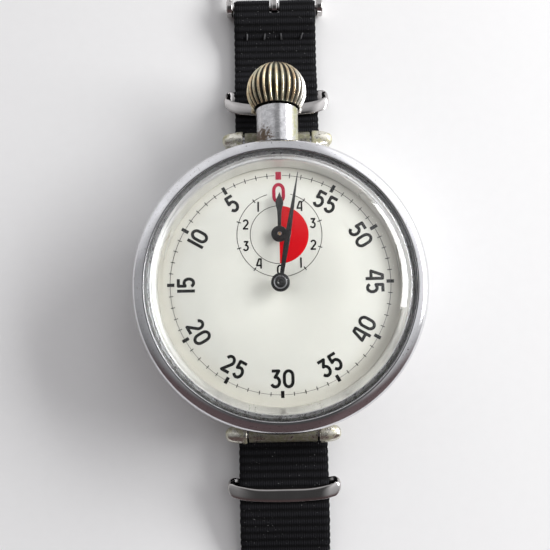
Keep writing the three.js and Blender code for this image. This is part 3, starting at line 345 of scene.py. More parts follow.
def thread():
    m = Nodes("thread_black", roughness=0.6, Sheen_Weight=0.3)
    twist = m.add("ShaderNodeTexWave", {"Vector": m.coords, "Scale": 900.0, "Distortion": 2.0}).outputs["Fac"]
    m.colour(m.mix(twist, (0.01, 0.01, 0.012), (0.05, 0.05, 0.055))).rough(m.span(twist, 0, 1, 0.7, 0.45))
    return m.bump(twist, 0.05, 0.8).material


def clear_crystal():
    """Clear acrylic, scuffed round its rim, that lets lamplight through to the dial."""
    m = Nodes("crystal_clear", roughness=0.0, IOR=1.49, Transmission_Weight=1.0,
              Base_Color=(0.985, 0.99, 0.985, 1))
    scuffs = m.noise(1, 5, 0.7, m.scaled(1300, 300, 900))
    out = m.radius()
    inner = m.span(out, CRYSTAL_SCUFFED_R * MM, (CRYSTAL_SCUFFED_R + 0.8) * MM)
    outer = m.span(out, (CRYSTAL_R - 0.2) * MM, (CRYSTAL_R - 0.5) * MM)
    rim = m.maths("MULTIPLY", inner, outer)
    rim = m.maths("MULTIPLY", rim, m.span(scuffs, 0.3, 0.6, 0.12, 0.42))
    m.rough(m.maths("ADD", m.span(scuffs, 0.62, 0.75, 0.0, 0.05), rim))
    clear = m.add("ShaderNodeBsdfTransparent", {"Color": (0.95, 0.955, 0.95, 1)})
    shadow = m.add("ShaderNodeLightPath").outputs["Is Shadow Ray"]
    both = m.add("ShaderNodeMixShader", {0: shadow, 1: m.shader.outputs[0], 2: clear.outputs[0]})
    m.tree.links.new(both.outputs[0], m.tree.nodes["Material Output"].inputs["Surface"])
    return m.material


def silvered_dial():
    """Warm silvered paint with painted shade towards the edge, darker and browner under the rehaut and bezel,
    and age specks.
    """
    m = Nodes("dial_silver", roughness=0.55, Specular_IOR_Level=0.3)
    cloud = m.noise(9, 4)
    grain = m.noise(0.12, 3)
    # painted shade: the dial darker and browner towards its edge, where the rehaut and bezel shade it
    edge = m.span(m.maths("ADD", m.radius(), m.maths("MULTIPLY", cloud, 4 * MM)), 21 * MM, 25.5 * MM)
    base = m.mix(m.span(cloud, 0.3, 0.7), (0.71, 0.705, 0.655), (0.675, 0.675, 0.63))
    speck = m.span(m.noise(0.25, 1), 0.74, 0.78, 0, 0.35)
    m.colour(m.mix(speck, m.mix(edge, base, (0.60, 0.58, 0.51)), (0.25, 0.22, 0.18)))
    m.rough(m.span(grain, 0.3, 0.7, 0.45, 0.62))
    return m.bump(grain, 0.006, 0.4).material


def ink(name, colour, thin):
    """Printing ink, thin in places."""
    m = Nodes(name, roughness=0.45, Specular_IOR_Level=0.06)
    wear = m.noise(0.22, 4, 0.7)
    m.colour(m.mix(m.span(wear, 0.55, 0.72, 0, 0.8), colour, thin)).rough(m.span(wear, 0.3, 0.7, 0.35, 0.6))
    return m.bump(wear, 0.004, 0.5).material


def black_hand():
    m = Nodes("hand_black", roughness=0.3, Coat_Weight=0.3, Coat_Roughness=0.15)
    dust = m.noise(0.15, 3, 0.7)
    m.colour(m.mix(m.span(dust, 0.6, 0.75, 0, 0.6), (0.008, 0.008, 0.009), (0.16, 0.15, 0.14)))
    m.rough(m.span(dust, 0.3, 0.7, 0.22, 0.42))
    return m.bump(dust, 0.01, 0.4).material


def floor_paper():
    m = Nodes("floor_paper", roughness=0.9, Specular_IOR_Level=0.1)
    grain = m.noise(2.5, 4)
    m.colour(m.mix(grain, (0.87, 0.87, 0.87), (0.90, 0.90, 0.90))).rough(m.span(grain, 0, 1, 0.85, 0.95))
    return m.material


CHROME = polished("chrome_case", (0.80, 0.80, 0.82), 0.07, 0.19, 0.003, pits=0.035)
PENDANT = pendant_chrome()
LUG = corroded("lug_nickel_worn", (0.74, 0.72, 0.64), (0.46, 0.44, 0.30), (0.11, 0.10, 0.05), 0.55)
KNUCKLE = corroded("knuckle_stained", (0.42, 0.40, 0.35), (0.21, 0.20, 0.14), (0.26, 0.27, 0.16), 0.75,
                   (0.25, 0.6))
CROWN = worn_crown()
KEEPER = polished("keeper_steel", (0.58, 0.56, 0.55), 0.05, 0.14, 0.002, (0.3, 1, 1))
STEEL = polished("steel_work", (0.56, 0.56, 0.58), 0.2, 0.36, 0.004, (1, 0.2, 1))
BRASS = polished("brass_work", (0.73, 0.56, 0.27), 0.22, 0.38, 0.004, (0.2, 1, 1))
NICKEL = polished("plate_nickel", (0.62, 0.60, 0.55), 0.25, 0.42, 0.006, (1, 0.15, 1))
REHAUT = polished("rehaut_silver", (0.86, 0.86, 0.85), 0.25, 0.4, 0.004)
CRYSTAL = clear_crystal()
DIAL = silvered_dial()
INK_BLACK = ink("ink_black", (0.006, 0.006, 0.006), (0.07, 0.065, 0.06))
INK_FINE = ink("ink_fine", (0.045, 0.042, 0.038), (0.22, 0.21, 0.19))
INK_CRIMSON = ink("ink_crimson", (0.40, 0.006, 0.038), (0.50, 0.06, 0.10))
INK_RED = ink("ink_red", (0.56, 0.002, 0.007), (0.50, 0.006, 0.010))
HAND = black_hand()
WEBBING = webbing()
SEALED = sealed_nylon()
THREAD = thread()


# ---- mesh tools
def linked(name, data):
    obj = bpy.data.objects.new(name, data)
    bpy.context.scene.collection.objects.link(obj)
    return obj


def mesh_object(name, verts, faces, attributes=None):
    """An object in the scene from vertices in millimetres, its faces pointing out."""
    mesh = bpy.data.meshes.new(name)
    mesh.from_pydata([tuple(c * MM for c in v) for v in verts], [], faces)
    for key, values in (attributes or {}).items():
        layer = mesh.attributes.new(key, "FLOAT", "POINT")
        layer.data.foreach_set("value", values)
    bm = bmesh.new()
    bm.from_mesh(mesh)
    bmesh.ops.recalc_face_normals(bm, faces=bm.faces)
    bm.to_mesh(mesh)
    bm.free()
    return linked(name, mesh)


def piece(name, verts, faces, material, body="root", replaces=(), slot=None, sharp=40, attributes=None):
    """A shown piece on a body of the frame."""
    obj = mesh_object(name, verts, faces, attributes)
    obj.data.materials.append(material)
    soften(obj.data, sharp)
    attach(obj, body)
    if replaces:
        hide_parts(*replaces)
    return obj


def soften(mesh, sharp):
    mesh.polygons.foreach_set("use_smooth", [True] * len(mesh.polygons))
    mesh.set_sharp_from_angle(angle=radians(sharp))


def join(*shapes):
    """Several (vertices, faces) as one."""
    verts, faces = [], []
    for v, f in shapes:
        faces += [tuple(i + len(verts) for i in face) for face in f]
        verts += v
    return verts, faces


def applied(obj, **modifiers):
    """Adds modifiers, each a kind and its settings, then keeps their result in the mesh."""
    for kind, settings in modifiers.items():
        modifier = obj.modifiers.new(kind, kind)
        for key, value in settings.items():
            setattr(modifier, key, value)
    graph = bpy.context.evaluated_depsgraph_get()
    graph.update()
    made = bpy.data.meshes.new_from_object(obj.evaluated_get(graph))
    old = obj.data
    obj.modifiers.clear()
    obj.data = made
    bpy.data.meshes.remove(old)


def cut(obj, shapes, operation="DIFFERENCE"):
    """Cuts closed (vertices, faces) shapes out of a piece, or joins them to it with UNION."""
    for shape in shapes:
        tool = mesh_object("cutter", *shape)
        applied(obj, BOOLEAN={"object": tool, "operation": operation, "solver": "EXACT"})
        mesh = tool.data
        bpy.data.objects.remove(tool)
        bpy.data.meshes.remove(mesh)


def fused(obj, voxel_mm, smooths):
    """One closed skin over a piece's overlapping shapes, with softened joins."""
    applied(obj, REMESH={"mode": "VOXEL", "voxel_size": voxel_mm * MM},
            SMOOTH={"iterations": smooths, "factor": 0.5})
    soften(obj.data, 60)


def rounded(points, radius, steps=4, closed=False):
    """A line of 2D points with its corners rounded."""
    line = []
    count = len(points)
    for i, p in enumerate(points):
        if not closed and i in (0, count - 1):
            line.append(p)
            continue
        here = Vector(p)
        before = Vector(points[i - 1]) - here
        after = Vector(points[(i + 1) % count]) - here
        reach = min(radius, 0.45 * before.length, 0.45 * after.length)
        start = here + before.normalized() * reach
        end = here + after.normalized() * reach
        for k in range(steps + 1):
            t = k / steps
            line.append(tuple(start * (1 - t) ** 2 + here * 2 * t * (1 - t) + end * t ** 2))
    return line


def lathe(profile, segments, closed=False, axis="z", centre=(0, 0, 0)):
    """A profile of (radius, height) turned about an axis through centre."""
    verts, rings = [], []
    for r, h in profile:
        if r < 1e-6:
            rings.append([len(verts)] * segments)
            verts.append((0.0, 0.0, h))
        else:
            rings.append(list(range(len(verts), len(verts) + segments)))
            turns = (TAU * k / segments for k in range(segments))
            verts += [(r * cos(a), r * sin(a), h) for a in turns]
    pairs = list(zip(rings, rings[1:] + rings[:1])) if closed else list(zip(rings, rings[1:]))
    faces = []
    for low, high in pairs:
        for k in range(segments):
            n = (k + 1) % segments
            face = [low[k], low[n], high[n], high[k]]
            face = [v for i, v in enumerate(face) if v not in face[:i]]
            if len(face) > 2:
                faces.append(tuple(face))
    if axis == "y":
        verts = [(x, z, -y) for x, y, z in verts]
    if axis == "x":
        verts = [(z, y, -x) for x, y, z in verts]
    return [tuple(a + b for a, b in zip(v, centre)) for v in verts], faces


def box(inner, outer, low, high):
    """The profile of a plain ring, or of a disc or rod when inner is 0."""
    return [(inner, low), (outer, low), (outer, high), (inner, high)]


def chamfered(radius, half, size):
    """The profile of a rod from -half to half with chamfered ends."""
    return [(0, -half), (radius - size, -half), (radius, -half + size), (radius, half - size),
            (radius - size, half), (0, half)]


def turned(name, profile, soft, steps, segments, material, closed=True, axis="z", centre=(0, 0, 0), **marks):
    """A piece turned from a profile whose corners are rounded."""
    shape = lathe(rounded(profile, soft, steps, closed), segments, closed, axis, centre)
    return piece(name, *shape, material, **marks)


def loft(rings, closed_ends=True):
    """Skin over rings of the same number of points. A closed run of rings has closed_ends None."""
    size = len(rings[0])
    verts = [v for ring in rings for v in ring]
    faces = []
    pairs = len(rings) if closed_ends is None else len(rings) - 1
    for i in range(pairs):
        a, b = i * size, ((i + 1) % len(rings)) * size
        faces += [(a + k, a + (k + 1) % size, b + (k + 1) % size, b + k) for k in range(size)]
    if closed_ends:
        faces.append(tuple(range(size)))
        faces.append(tuple(range(len(verts) - size, len(verts))))
    return verts, faces


def oval(count, half_a, half_b, square=2.0):
    """Points of an oval. The larger square is, the fuller its corners; 2 is an ellipse."""
    points = []
    for k in range(count):
        c, s = cos(TAU * k / count), sin(TAU * k / count)
        grow = (abs(c) ** square + abs(s) ** square) ** (-1 / square)
        points.append((half_a * c * grow, half_b * s * grow))
    return points


def slab(outline, low, high, bevel=0.0):
    """A flat outline made into a plate, its upper and lower edges bevelled."""
    bm = bmesh.new()
    face = bm.faces.new([bm.verts.new((x, y, low)) for x, y in outline])
    made = bmesh.ops.extrude_face_region(bm, geom=[face])
    for v in (g for g in made["geom"] if isinstance(g, bmesh.types.BMVert)):
        v.co.z = high
    if bevel:
        rim = [e for e in bm.edges if abs(e.verts[0].co.z - e.verts[1].co.z) < 1e-6]
        bmesh.ops.bevel(bm, geom=rim, offset=bevel, segments=2, profile=0.5, affect="EDGES")
    bm.verts.index_update()
    shape = [tuple(v.co) for v in bm.verts], [tuple(v.index for v in f.verts) for f in bm.faces]
    bm.free()
    return shape


def moved(shape, offset=(0, 0, 0), turn=0.0):
    c, s = cos(turn), sin(turn)
    verts = [(x * c - y * s + offset[0], x * s + y * c + offset[1], z + offset[2]) for x, y, z in shape[0]]
    return verts, shape[1]


# ---- case
def build_case():
    band = [
        (BAND_INNER_R, BAND_Z + 0.1), (BAND_R - 0.8, BAND_Z + 0.1), (BAND_R - 0.15, BAND_Z + 0.9),
        (BAND_R, BAND_Z + 2.4), (BAND_R, BAND_TOP_Z - 0.9), (BAND_R - 0.25, BAND_TOP_Z),
        (CRYSTAL_SEAT_R, BAND_TOP_Z), (CRYSTAL_SEAT_R, BAND_TOP_Z - 0.4), (BAND_INNER_R, BAND_TOP_Z - 0.6),
    ]
    shell = turned("case_band_shell", band, 0.35, 4, 192, CHROME, replaces=["case_band"], slot="case_chrome")
    cut(shell, [lathe(box(0, STEM_HOLE_R, 20, 30), 24, axis="y", centre=(0, 0, CROWN_Z))])
    soften(shell.data, 40)

    back = [
        (0, BACK_Z + 0.02), (17.6, BACK_Z), (20, BACK_Z), (22.6, BACK_Z + 0.35), (25, BACK_Z + 1.2),
        (26.5, BACK_Z + 2.2), (26.5, BACK_Z + 2.35), (25.5, BACK_Z + 2.35), (24.4, BACK_Z + 1.75),
        (22.2, BACK_Z + 1.15), (20, BACK_Z + 0.9), (0, BACK_Z + 0.9),
    ]
    turned("case_back_lid", back, 0.7, 5, 192, CHROME, closed=False,
           replaces=["case_back"], slot="case_chrome")

    brow = []
    for k in range(15):
        a = BROW_START + (pi / 2 - BROW_START) * k / 14
        out = (sin(a) - sin(BROW_START)) / (1 - sin(BROW_START))
        brow.append((BEZEL_CREST_R + (BEZEL_R - BEZEL_CREST_R) * out,
                     BEZEL_TOP_Z - BEZEL_BROW + BEZEL_BROW * cos(a) / cos(BROW_START)))
    foot = rounded([brow[-1], (BEZEL_R, BAND_TOP_Z + 0.45), (BEZEL_R - 0.9, BAND_TOP_Z + 0.1),
                    (BEZEL_INNER_R, BAND_TOP_Z + 0.1)], 0.5)
    lip = rounded([foot[-1], (BEZEL_INNER_R, BEZEL_TOP_Z - 0.02), brow[0]], 0.3)
    piece("bezel_ring", *lathe(brow + foot[1:] + lip[1:-1], 256, True), CHROME,
          replaces=["bezel"], slot="case_chrome")

    crystal = [
        (0, CRYSTAL_TOP_Z), (11, CRYSTAL_TOP_Z - 0.25), (18.5, CRYSTAL_TOP_Z - 0.75),
        (22.4, CRYSTAL_SHOULDER_Z + 0.35), (CRYSTAL_TOP_R, CRYSTAL_SHOULDER_Z - 0.7),
        (CRYSTAL_R, BAND_TOP_Z + 2), (CRYSTAL_R, BAND_TOP_Z + 0.35),
        (CRYSTAL_R - CRYSTAL_T, BAND_TOP_Z + 0.35), (CRYSTAL_R - CRYSTAL_T, BAND_TOP_Z + 1.9),
        (CRYSTAL_TOP_R - CRYSTAL_T, CRYSTAL_SHOULDER_Z - 1.5), (21, CRYSTAL_SHOULDER_Z - 0.95),
        (17.6, CRYSTAL_TOP_Z - CRYSTAL_T - 0.75), (10.5, CRYSTAL_TOP_Z - CRYSTAL_T - 0.25),
        (0, CRYSTAL_TOP_Z - CRYSTAL_T),
    ]
    dome = []
    for i, (r, z) in enumerate(crystal):
        reach = 2.4 if r < 19 else 0.45
        if i in (0, len(crystal) - 1):
            dome.append((r, z))
        else:
            dome += rounded([crystal[i - 1], (r, z), crystal[i + 1]], reach, 6)[1:-1]
    piece("crystal_dome", *lathe(dome, 256), CRYSTAL, replaces=["crystal"], slot="crystal_clear", sharp=50)

    wall_r = CRYSTAL_R - CRYSTAL_T - 0.1
    rehaut = [
        (REHAUT_INNER_R, DIAL_Z + 0.1), (wall_r, DIAL_Z + 0.1), (wall_r, DIAL_Z + 1.9),
        (REHAUT_INNER_R + 0.75, DIAL_Z + 1.9),
    ]
    turned("rehaut_slope", rehaut, 0.12, 3, 256, REHAUT, replaces=["rehaut_ring"], slot="steel_work")


# ---- dial printing
PRINT_T = 0.02
TRACK_R = 21.32
NUMBER_R = 18.25
ZERO_R = 17.75
SUB_OUTER_R = 8.29
SUB_INNER_R = 5.7
SUB_NUMBER_R = 6.9
DIAL_HOLE_R = 0.75
DIGIT_WIDTH = {"0": 0.62, "1": 0.15, "2": 0.58, "3": 0.57, "4": 0.62, "5": 0.58}


def arc(cx, cy, rx, ry, start, end, steps=10):
    """Points on an ellipse from start to end degrees."""
    turns = [radians(start + (end - start) * k / steps) for k in range(steps + 1)]
    return [(cx + rx * cos(a), cy + ry * sin(a)) for a in turns]


def digit_lines(digit, half):
    """Centre lines of a digit one unit high, drawn with a pen of half-width half."""
    low, high, left = half, 1 - half, half
    right = DIGIT_WIDTH[digit] - half
    mid = (left + right) / 2
    wide = (right - left) / 2
    if digit == "0":
        return [arc(mid, high - 0.27, wide, 0.27, 0, 180) + arc(mid, low + 0.27, wide, 0.27, 180, 360)
                + [(right, high - 0.27)]]
    if digit == "1":
        return [[(left, low - half * 0.8), (left, high + half * 0.8)]]
    if digit == "2":
        return [arc(mid, high - 0.235, wide, 0.235, 165, -35) + [(left, low), (right + 0.02, low)]]
    if digit == "3":
        return [[(left, high), (right - 0.03, high), (mid - 0.03, 0.58)]
                + arc(mid - 0.02, low + 0.255, wide + 0.02, 0.255, 80, -155)]
    if digit == "4":
        return [[(0.49, low - half), (0.49, high), (0.3, high), (left, 0.3), (right + 0.04, 0.3)]]
    return [[(right, high), (left + 0.03, high), (left + 0.03, 0.55)]
            + arc(mid - 0.01, low + 0.265, wide + 0.01, 0.265, 125, -150)]


def pen(line, half):
    """Polygons that cover a line drawn with a pen of half-width half: a bar a step and a disc a bend."""
    shapes = []
    for (x0, y0), (x1, y1) in zip(line, line[1:]):
        length = hypot(x1 - x0, y1 - y0)
        if length < 1e-6:
            continue
        nx, ny = -(y1 - y0) / length * half, (x1 - x0) / length * half
        shapes.append([(x0 + nx, y0 + ny), (x0 - nx, y0 - ny), (x1 - nx, y1 - ny), (x1 + nx, y1 + ny)])
    for x, y in line[1:-1]:
        shapes.append([(x + a, y + b) for a, b in oval(12, half, half)])
    return shapes


def number(text, centre, height, half, turn=0.0, stretch=1.0):
    """A number's polygons, centred at a point of the dial and turned about it."""
    unit = half / height
    gap = 0.09
    width = sum(DIGIT_WIDTH[d] for d in text) + gap * (len(text) - 1)
    c, s = cos(turn), sin(turn)
    shapes = []
    x0 = -width / 2
    for d in text:
        for line in digit_lines(d, unit):
            for shape in pen(line, unit):
                local = [((x + x0) * height * stretch, (y - 0.5) * height) for x, y in shape]
                shapes.append([(centre[0] + x * c - y * s, centre[1] + x * s + y * c) for x, y in local])
        x0 += DIGIT_WIDTH[d] + gap
    return shapes


def bar(centre, radius, turn, length, width):
    """A bar across a circle. turn is counted from the top, counter-clockwise."""
    c, s = cos(turn + pi / 2), sin(turn + pi / 2)
    ends = [(radius - length / 2, -width / 2), (radius + length / 2, -width / 2),
            (radius + length / 2, width / 2), (radius - length / 2, width / 2)]
    return [(centre[0] + a * c - b * s, centre[1] + a * s + b * c) for a, b in ends]


def ring_line(centre, radius, width, start=0.0, end=TAU, steps=180):
    """Short bars that make a circle's line, from start to end counted from the top."""
    shapes = []
    for k in range(steps):
        a0 = start + (end - start) * k / steps + pi / 2
        a1 = start + (end - start) * (k + 1) / steps + pi / 2
        corners = [(-1, a0), (1, a0), (1, a1), (-1, a1)]
        shapes.append([(centre[0] + (radius + side * width / 2) * cos(a),
                        centre[1] + (radius + side * width / 2) * sin(a)) for side, a in corners])
    return shapes


def printed(name, shapes, material, lift=0.0):
    """Overlapping polygons as one thin raised print on the dial."""
    verts, faces = [], []
    for shape in shapes:
        faces.append(list(range(len(verts), len(verts) + len(shape))))
        verts += [Vector(p) for p in shape]
    flat, _, triangles, _, _, sources = delaunay_2d_cdt(verts, [], faces, 0, 1e-4)
    triangles = [t for t, source in zip(triangles, sources) if source]
    count = len(flat)
    low, high = DIAL_Z + lift + 0.002, DIAL_Z + lift + PRINT_T
    points = [(p.x, p.y, high) for p in flat] + [(p.x, p.y, low) for p in flat]
    skin = [tuple(t) for t in triangles] + [tuple(i + count for i in reversed(t)) for t in triangles]
    edges = {(a, b): True for t in triangles for a, b in zip(t, [*t[1:], t[0]])}
    skin += [(b, a, a + count, b + count) for a, b in edges if (b, a) not in edges]
    return piece(name, points, skin, material, slot="dial_silver", sharp=30)


def build_dial():
    face = turned("dial_face", box(DIAL_HOLE_R, DIAL_R, DIAL_Z - 0.4, DIAL_Z), 0.06, 2, 192, DIAL,
                  replaces=["dial"], slot="dial_silver", sharp=30)
    cut(face, [lathe(box(0, DIAL_HOLE_R, 11, 13), 24, centre=(0, SUB_DIAL_Y, 0))])
    soften(face.data, 30)

    fine = ring_line((0, 0), TRACK_R, 0.1, radians(2), radians(358), 240)
    bold = []
    for second in range(60):
        turn = TAU * second / 60
        if second % 5:
            bold.append(bar((0, 0), TRACK_R, turn, 0.98, 0.15))
        elif second:
            bold.append(bar((0, 0), TRACK_R, turn, 1.65, 0.66))
            outward = second <= 15 or second >= 45
            at = (-NUMBER_R * sin(turn), NUMBER_R * cos(turn))
            bold += number(str(second), at, 3.6, 0.3, turn if outward else turn + pi)
    sub = (0, SUB_DIAL_Y)
    gap = radians(16)
    fine += ring_line(sub, SUB_OUTER_R, 0.13, gap, TAU - gap, 120)
    fine += ring_line(sub, SUB_INNER_R, 0.13, 0, pi, 60)
    small = []
    for k in range(1, 10):
        turn = TAU * k / 10
        small.append(bar(sub, SUB_OUTER_R, turn, 0.85, 0.2))
        digit = str(k % 5)
        at = (-SUB_NUMBER_R * sin(turn), SUB_DIAL_Y + SUB_NUMBER_R * cos(turn))
        small += number(digit, at, 2.05, 0.165)
    printed("dial_scale_fine", fine, INK_FINE)
    printed("dial_numbers", bold + small, INK_BLACK, 0.004)
    crimson = [bar((0, 0), TRACK_R, 0, 1.65, 1.1)] + number("0", (0, ZERO_R), 4.2, 0.34, 0, 0.97)
    printed("dial_zero_mark", crimson, INK_CRIMSON, 0.006)
    sector = arc(0, SUB_DIAL_Y, SUB_INNER_R, SUB_INNER_R, -90, 90, 48)
    printed("dial_red_sector", [sector], INK_RED, 0.002)


# ---- hands
def blade(half_widths, low, high, bevel):
    """A pointed blade from (distance, half-width) stations along +Y."""
    outline = [(-w, y) for y, w in half_widths] + [(w, y) for y, w in reversed(half_widths)]
    return slab(outline, low, high, bevel)


def build_hands():
    z = DIAL_Z + 1.65
    sweep = blade([(0.6, 0.36), (4, 0.44), (7.5, 0.55), (9.5, 0.56), (12, 0.47), (17, 0.26), (21.9, 0.06)],
                  z + 0.06, z + 0.3, 0.05)
    disc = [(0.42, z), (1.72, z), (1.8, z + 0.1), (1.8, z + 0.4), (1.55, z + 0.5), (0.42, z + 0.5)]
    hub = turned("sweep_hand_hub", disc, 0.08, 3, 72, HAND,
                 body="sweep", replaces=["sweep_hand"], slot="hand_black")
    notch = slab(box(1.62, 1.95, -0.045, 0.045), z + 0.25, z + 0.8)
    cut(hub, [join(*(moved(notch, turn=TAU * k / 36) for k in range(36)))])
    soften(hub.data, 40)
    piece("sweep_hand_blade", *moved(sweep, turn=-SWEEP_REST), HAND, "sweep", slot="hand_black", sharp=25)
    turned("sweep_hand_washer", box(1.05, 1.27, z + 0.48, z + 0.6), 0.05, 3, 64, STEEL,
           body="sweep", slot="steel_work")
    nut = [(0, z + 0.45), (0.92, z + 0.45), (0.95, z + 0.62), (0.55, z + 0.68), (0.45, z + 0.6),
           (0.3, z + 0.6), (0.22, z + 0.7), (0, z + 0.7)]
    turned("sweep_hand_nut", nut, 0.05, 3, 48, HAND, closed=False, body="sweep", slot="hand_black")

    z = DIAL_Z + 0.75
    centre = (0, SUB_DIAL_Y, 0)
    leaf = blade([(0.6, 0.33), (3, 0.36), (4.6, 0.45), (5.7, 0.72), (6.2, 0.78), (6.7, 0.66), (7.5, 0.28),
                  (8.15, 0.06)], z + 0.05, z + 0.27, 0.05)
    leaf = moved(leaf, centre, -MINUTE_REST)
    piece("minute_hand_leaf", *leaf, HAND, "minute", ["minute_hand"], "hand_black", 25)
    boss = [(0.42, z), (1.5, z), (1.6, z + 0.08), (1.6, z + 0.22), (1.45, z + 0.35), (0.42, z + 0.35)]
    turned("minute_hand_boss", boss, 0.06, 3, 64, HAND, centre=centre, body="minute", slot="hand_black")
    turned("minute_hand_pipe", box(0.3, 0.42, z + 0.3, z + 0.5), 0.03, 2, 40, STEEL, centre=centre,
           body="minute", slot="steel_work")
    pip = [(0, z + 0.3), (0.2, z + 0.3), (0.2, z + 0.42), (0, z + 0.44)]
    turned("minute_hand_pin", pip, 0.04, 2, 24, HAND, closed=False, centre=(0.95, SUB_DIAL_Y - 0.35, 0),
           body="minute", slot="steel_work")


# ---- crown and pendant
def build_crown():
    """A ball with flutes, lathed ring by ring from its hollow skirt to its cap."""
    around, along = FLUTES * 12, 40
    first, last = CROWN_LATITUDES
    rings, crest = [], []

    def ring(radius, y, flute, smooth=0.2):
        points = []
        for k in range(around):
            a = TAU * k / around
            wave = 0.5 + 0.5 * cos(FLUTES * a)
            depth = flute * (1 - wave ** 1.3)
            reach = radius - depth
            points.append((reach * sin(a), y, CROWN_Z + reach * cos(a)))
            crest.append(wave if flute > 0.02 else smooth)
        rings.append(points)

    hollow = TUBE_R + 0.3
    skirt_end = TUBE_END_Y + 0.15 + CROWN_TRAVEL
    ring(0.66, skirt_end, 0)
    ring(hollow, skirt_end, 0)
    ring(hollow, CROWN_Y - CROWN_R * CROWN_FLATTENING * sin(-first) - 0.06, 0)
    for i in range(along + 1):
        a = first + (last - first) * i / along
        fade = min(1, (last - a) / 0.3) * min(1, 0.35 + (a - first) / 0.12)
        ring(CROWN_R * cos(a), CROWN_Y + CROWN_R * sin(a) * CROWN_FLATTENING,
             FLUTE_DEPTH * fade * cos(a) ** 0.5, 0.8)
    end_y = CROWN_Y + CROWN_R * sin(last) * CROWN_FLATTENING
    ring(1.0, end_y + 0.05, 0, 0.8)
    ring(0.3, end_y + 0.06, 0, 0.8)
    piece("crown_ball", *loft(rings), CROWN, "crown", ["crown"], "crown_worn", 50, {"crest": crest})
    turned("crown_collar", box(0.66, 1.9, 33, skirt_end + 0.2), 0.15, 3, 48, STEEL,
           axis="y", centre=(0, 0, CROWN_Z), body="crown", slot="steel_work")


def build_pendant():
    """A tube whose foot follows the case, the bezel and the lug's knuckle."""
    around = 96
    steps = 14

    def foot(x, z):
        radius = BAND_R
        if z > BAND_TOP_Z:
            up = max(0, z - BEZEL_TOP_Z + BEZEL_BROW) / BEZEL_BROW
            radius = BEZEL_CREST_R + (BEZEL_R - BEZEL_CREST_R) * sqrt(max(0, 1 - up ** 2))
        reach = sqrt((radius + 0.06) ** 2 - x ** 2)
        seat = KNUCKLE_R + 0.08
        if z < LUG_Z + seat:
            reach = max(reach, LUG_TOP_Y + sqrt(max(0, seat ** 2 - max(0, z - LUG_Z) ** 2)))
        return reach

    rings = []
    for radius, forward in ((TUBE_R, True), (TUBE_BORE_R, False)):
        lines = []
        for k in range(around):
            a = TAU * k / around
            x, z = radius * sin(a), CROWN_Z + radius * cos(a)
            lines.append((x, z, foot(x, z)))
        shares = [i / steps for i in range(steps + 1)]
        for t in shares if forward else reversed(shares):
            slim = 1 - (0.12 if forward and t == 1 else 0.0) / radius
            rings.append([(x * slim, y0 + t * (TUBE_END_Y - y0), CROWN_Z + (z - CROWN_Z) * slim)
                          for x, z, y0 in lines])
            if forward and t == shares[-2]:
                rings.append([(x, TUBE_END_Y - 0.12, z) for x, z, _ in lines])
    piece("pendant_neck", *loft(rings, None), PENDANT,
          replaces=["pendant_tube"], slot="case_chrome", sharp=35)


# ---- lugs
def build_lugs():
    for place, y in (("top", LUG_TOP_Y), ("bottom", LUG_BOTTOM_Y)):
        build_knuckle(place, y)
        build_stirrup(place, y)


def build_knuckle(place, y):
    """The roll soldered to the case, and the pin through it."""
    hinge = (0, y, LUG_Z)
    roll = lathe(chamfered(KNUCKLE_R, KNUCKLE_HALF, 0.12), 64, axis="x", centre=hinge)
    knuckle = piece(f"lug_hinge_{place}", *roll, KNUCKLE,
                    replaces=[f"lug_knuckle_{place}"], slot="case_chrome")
    low, high = sorted((y, copysign(WEB_INNER_Y, y)))
    half, thick = KNUCKLE_HALF - 0.05, KNUCKLE_R - 0.02
    cut(knuckle, [slab(box(-half, half, low, high), LUG_Z - thick, LUG_Z + thick)], "UNION")
    cut(knuckle, [lathe(box(0, BAND_R + 0.08, 0, 20), 192)])
    cut(knuckle, [lathe(box(0, PIN_R + 0.05, -12, 12), 32, axis="x", centre=hinge)])
    soften(knuckle.data, 35)

    pin = lathe(chamfered(PIN_R, EAR_OUTER_X, 0.15), 32, axis="x", centre=hinge)
    piece(f"lug_axle_{place}", *pin, STEEL, replaces=[f"lug_pin_{place}"], slot="steel_work")


def build_stirrup(place, y):
    """Two ears, the arms below them and the bar that the strap runs over, cast as one."""
    start = EAR_INNER_X + 0.12
    ear = [(0, EAR_INNER_X), (EAR_R - 0.1, EAR_INNER_X), (EAR_R, start)]
    for k in range(1, 15):
        t = k / 14
        fall = (EAR_R - EAR_TIP_R) * (1 - t ** 2) ** 0.55
        ear.append((EAR_TIP_R + fall, start + t * (EAR_OUTER_X - start)))
    ear += [(EAR_TIP_R - 0.12, EAR_OUTER_X + 0.1), (EAR_TIP_R - 0.45, EAR_OUTER_X + 0.17),
            (0, EAR_OUTER_X + 0.2)]
    verts, faces = lathe(ear, 48, axis="x")
    foot = LUG_BAR_Z - LUG_BAR_R
    shapes = []
    for hand in (-1, 1):
        shapes.append(([(hand * vx, vy + y, vz + LUG_Z) for vx, vy, vz in verts], faces))
        middle = hand * (ARM_INNER_X + EAR_OUTER_X) / 2
        arm = []
        for k in range(9):
            t = k / 8
            z = foot + t * (LUG_Z - foot)
            arm.append([(middle + px, y + py, z) for px, py in oval(24, 0.88, 0.8 + 0.28 * t, 3.0)])
        shapes.append(loft(arm))
    reach = EAR_OUTER_X - 0.5
    shapes.append(lathe(box(0, LUG_BAR_R, -reach, reach), 32, axis="x", centre=(0, y, LUG_BAR_Z)))
    node = f"lug_stirrup_{place}"
    fused(piece(f"lug_loop_{place}", *join(*shapes), LUG, node, [node], "case_chrome"), 0.11, 4)


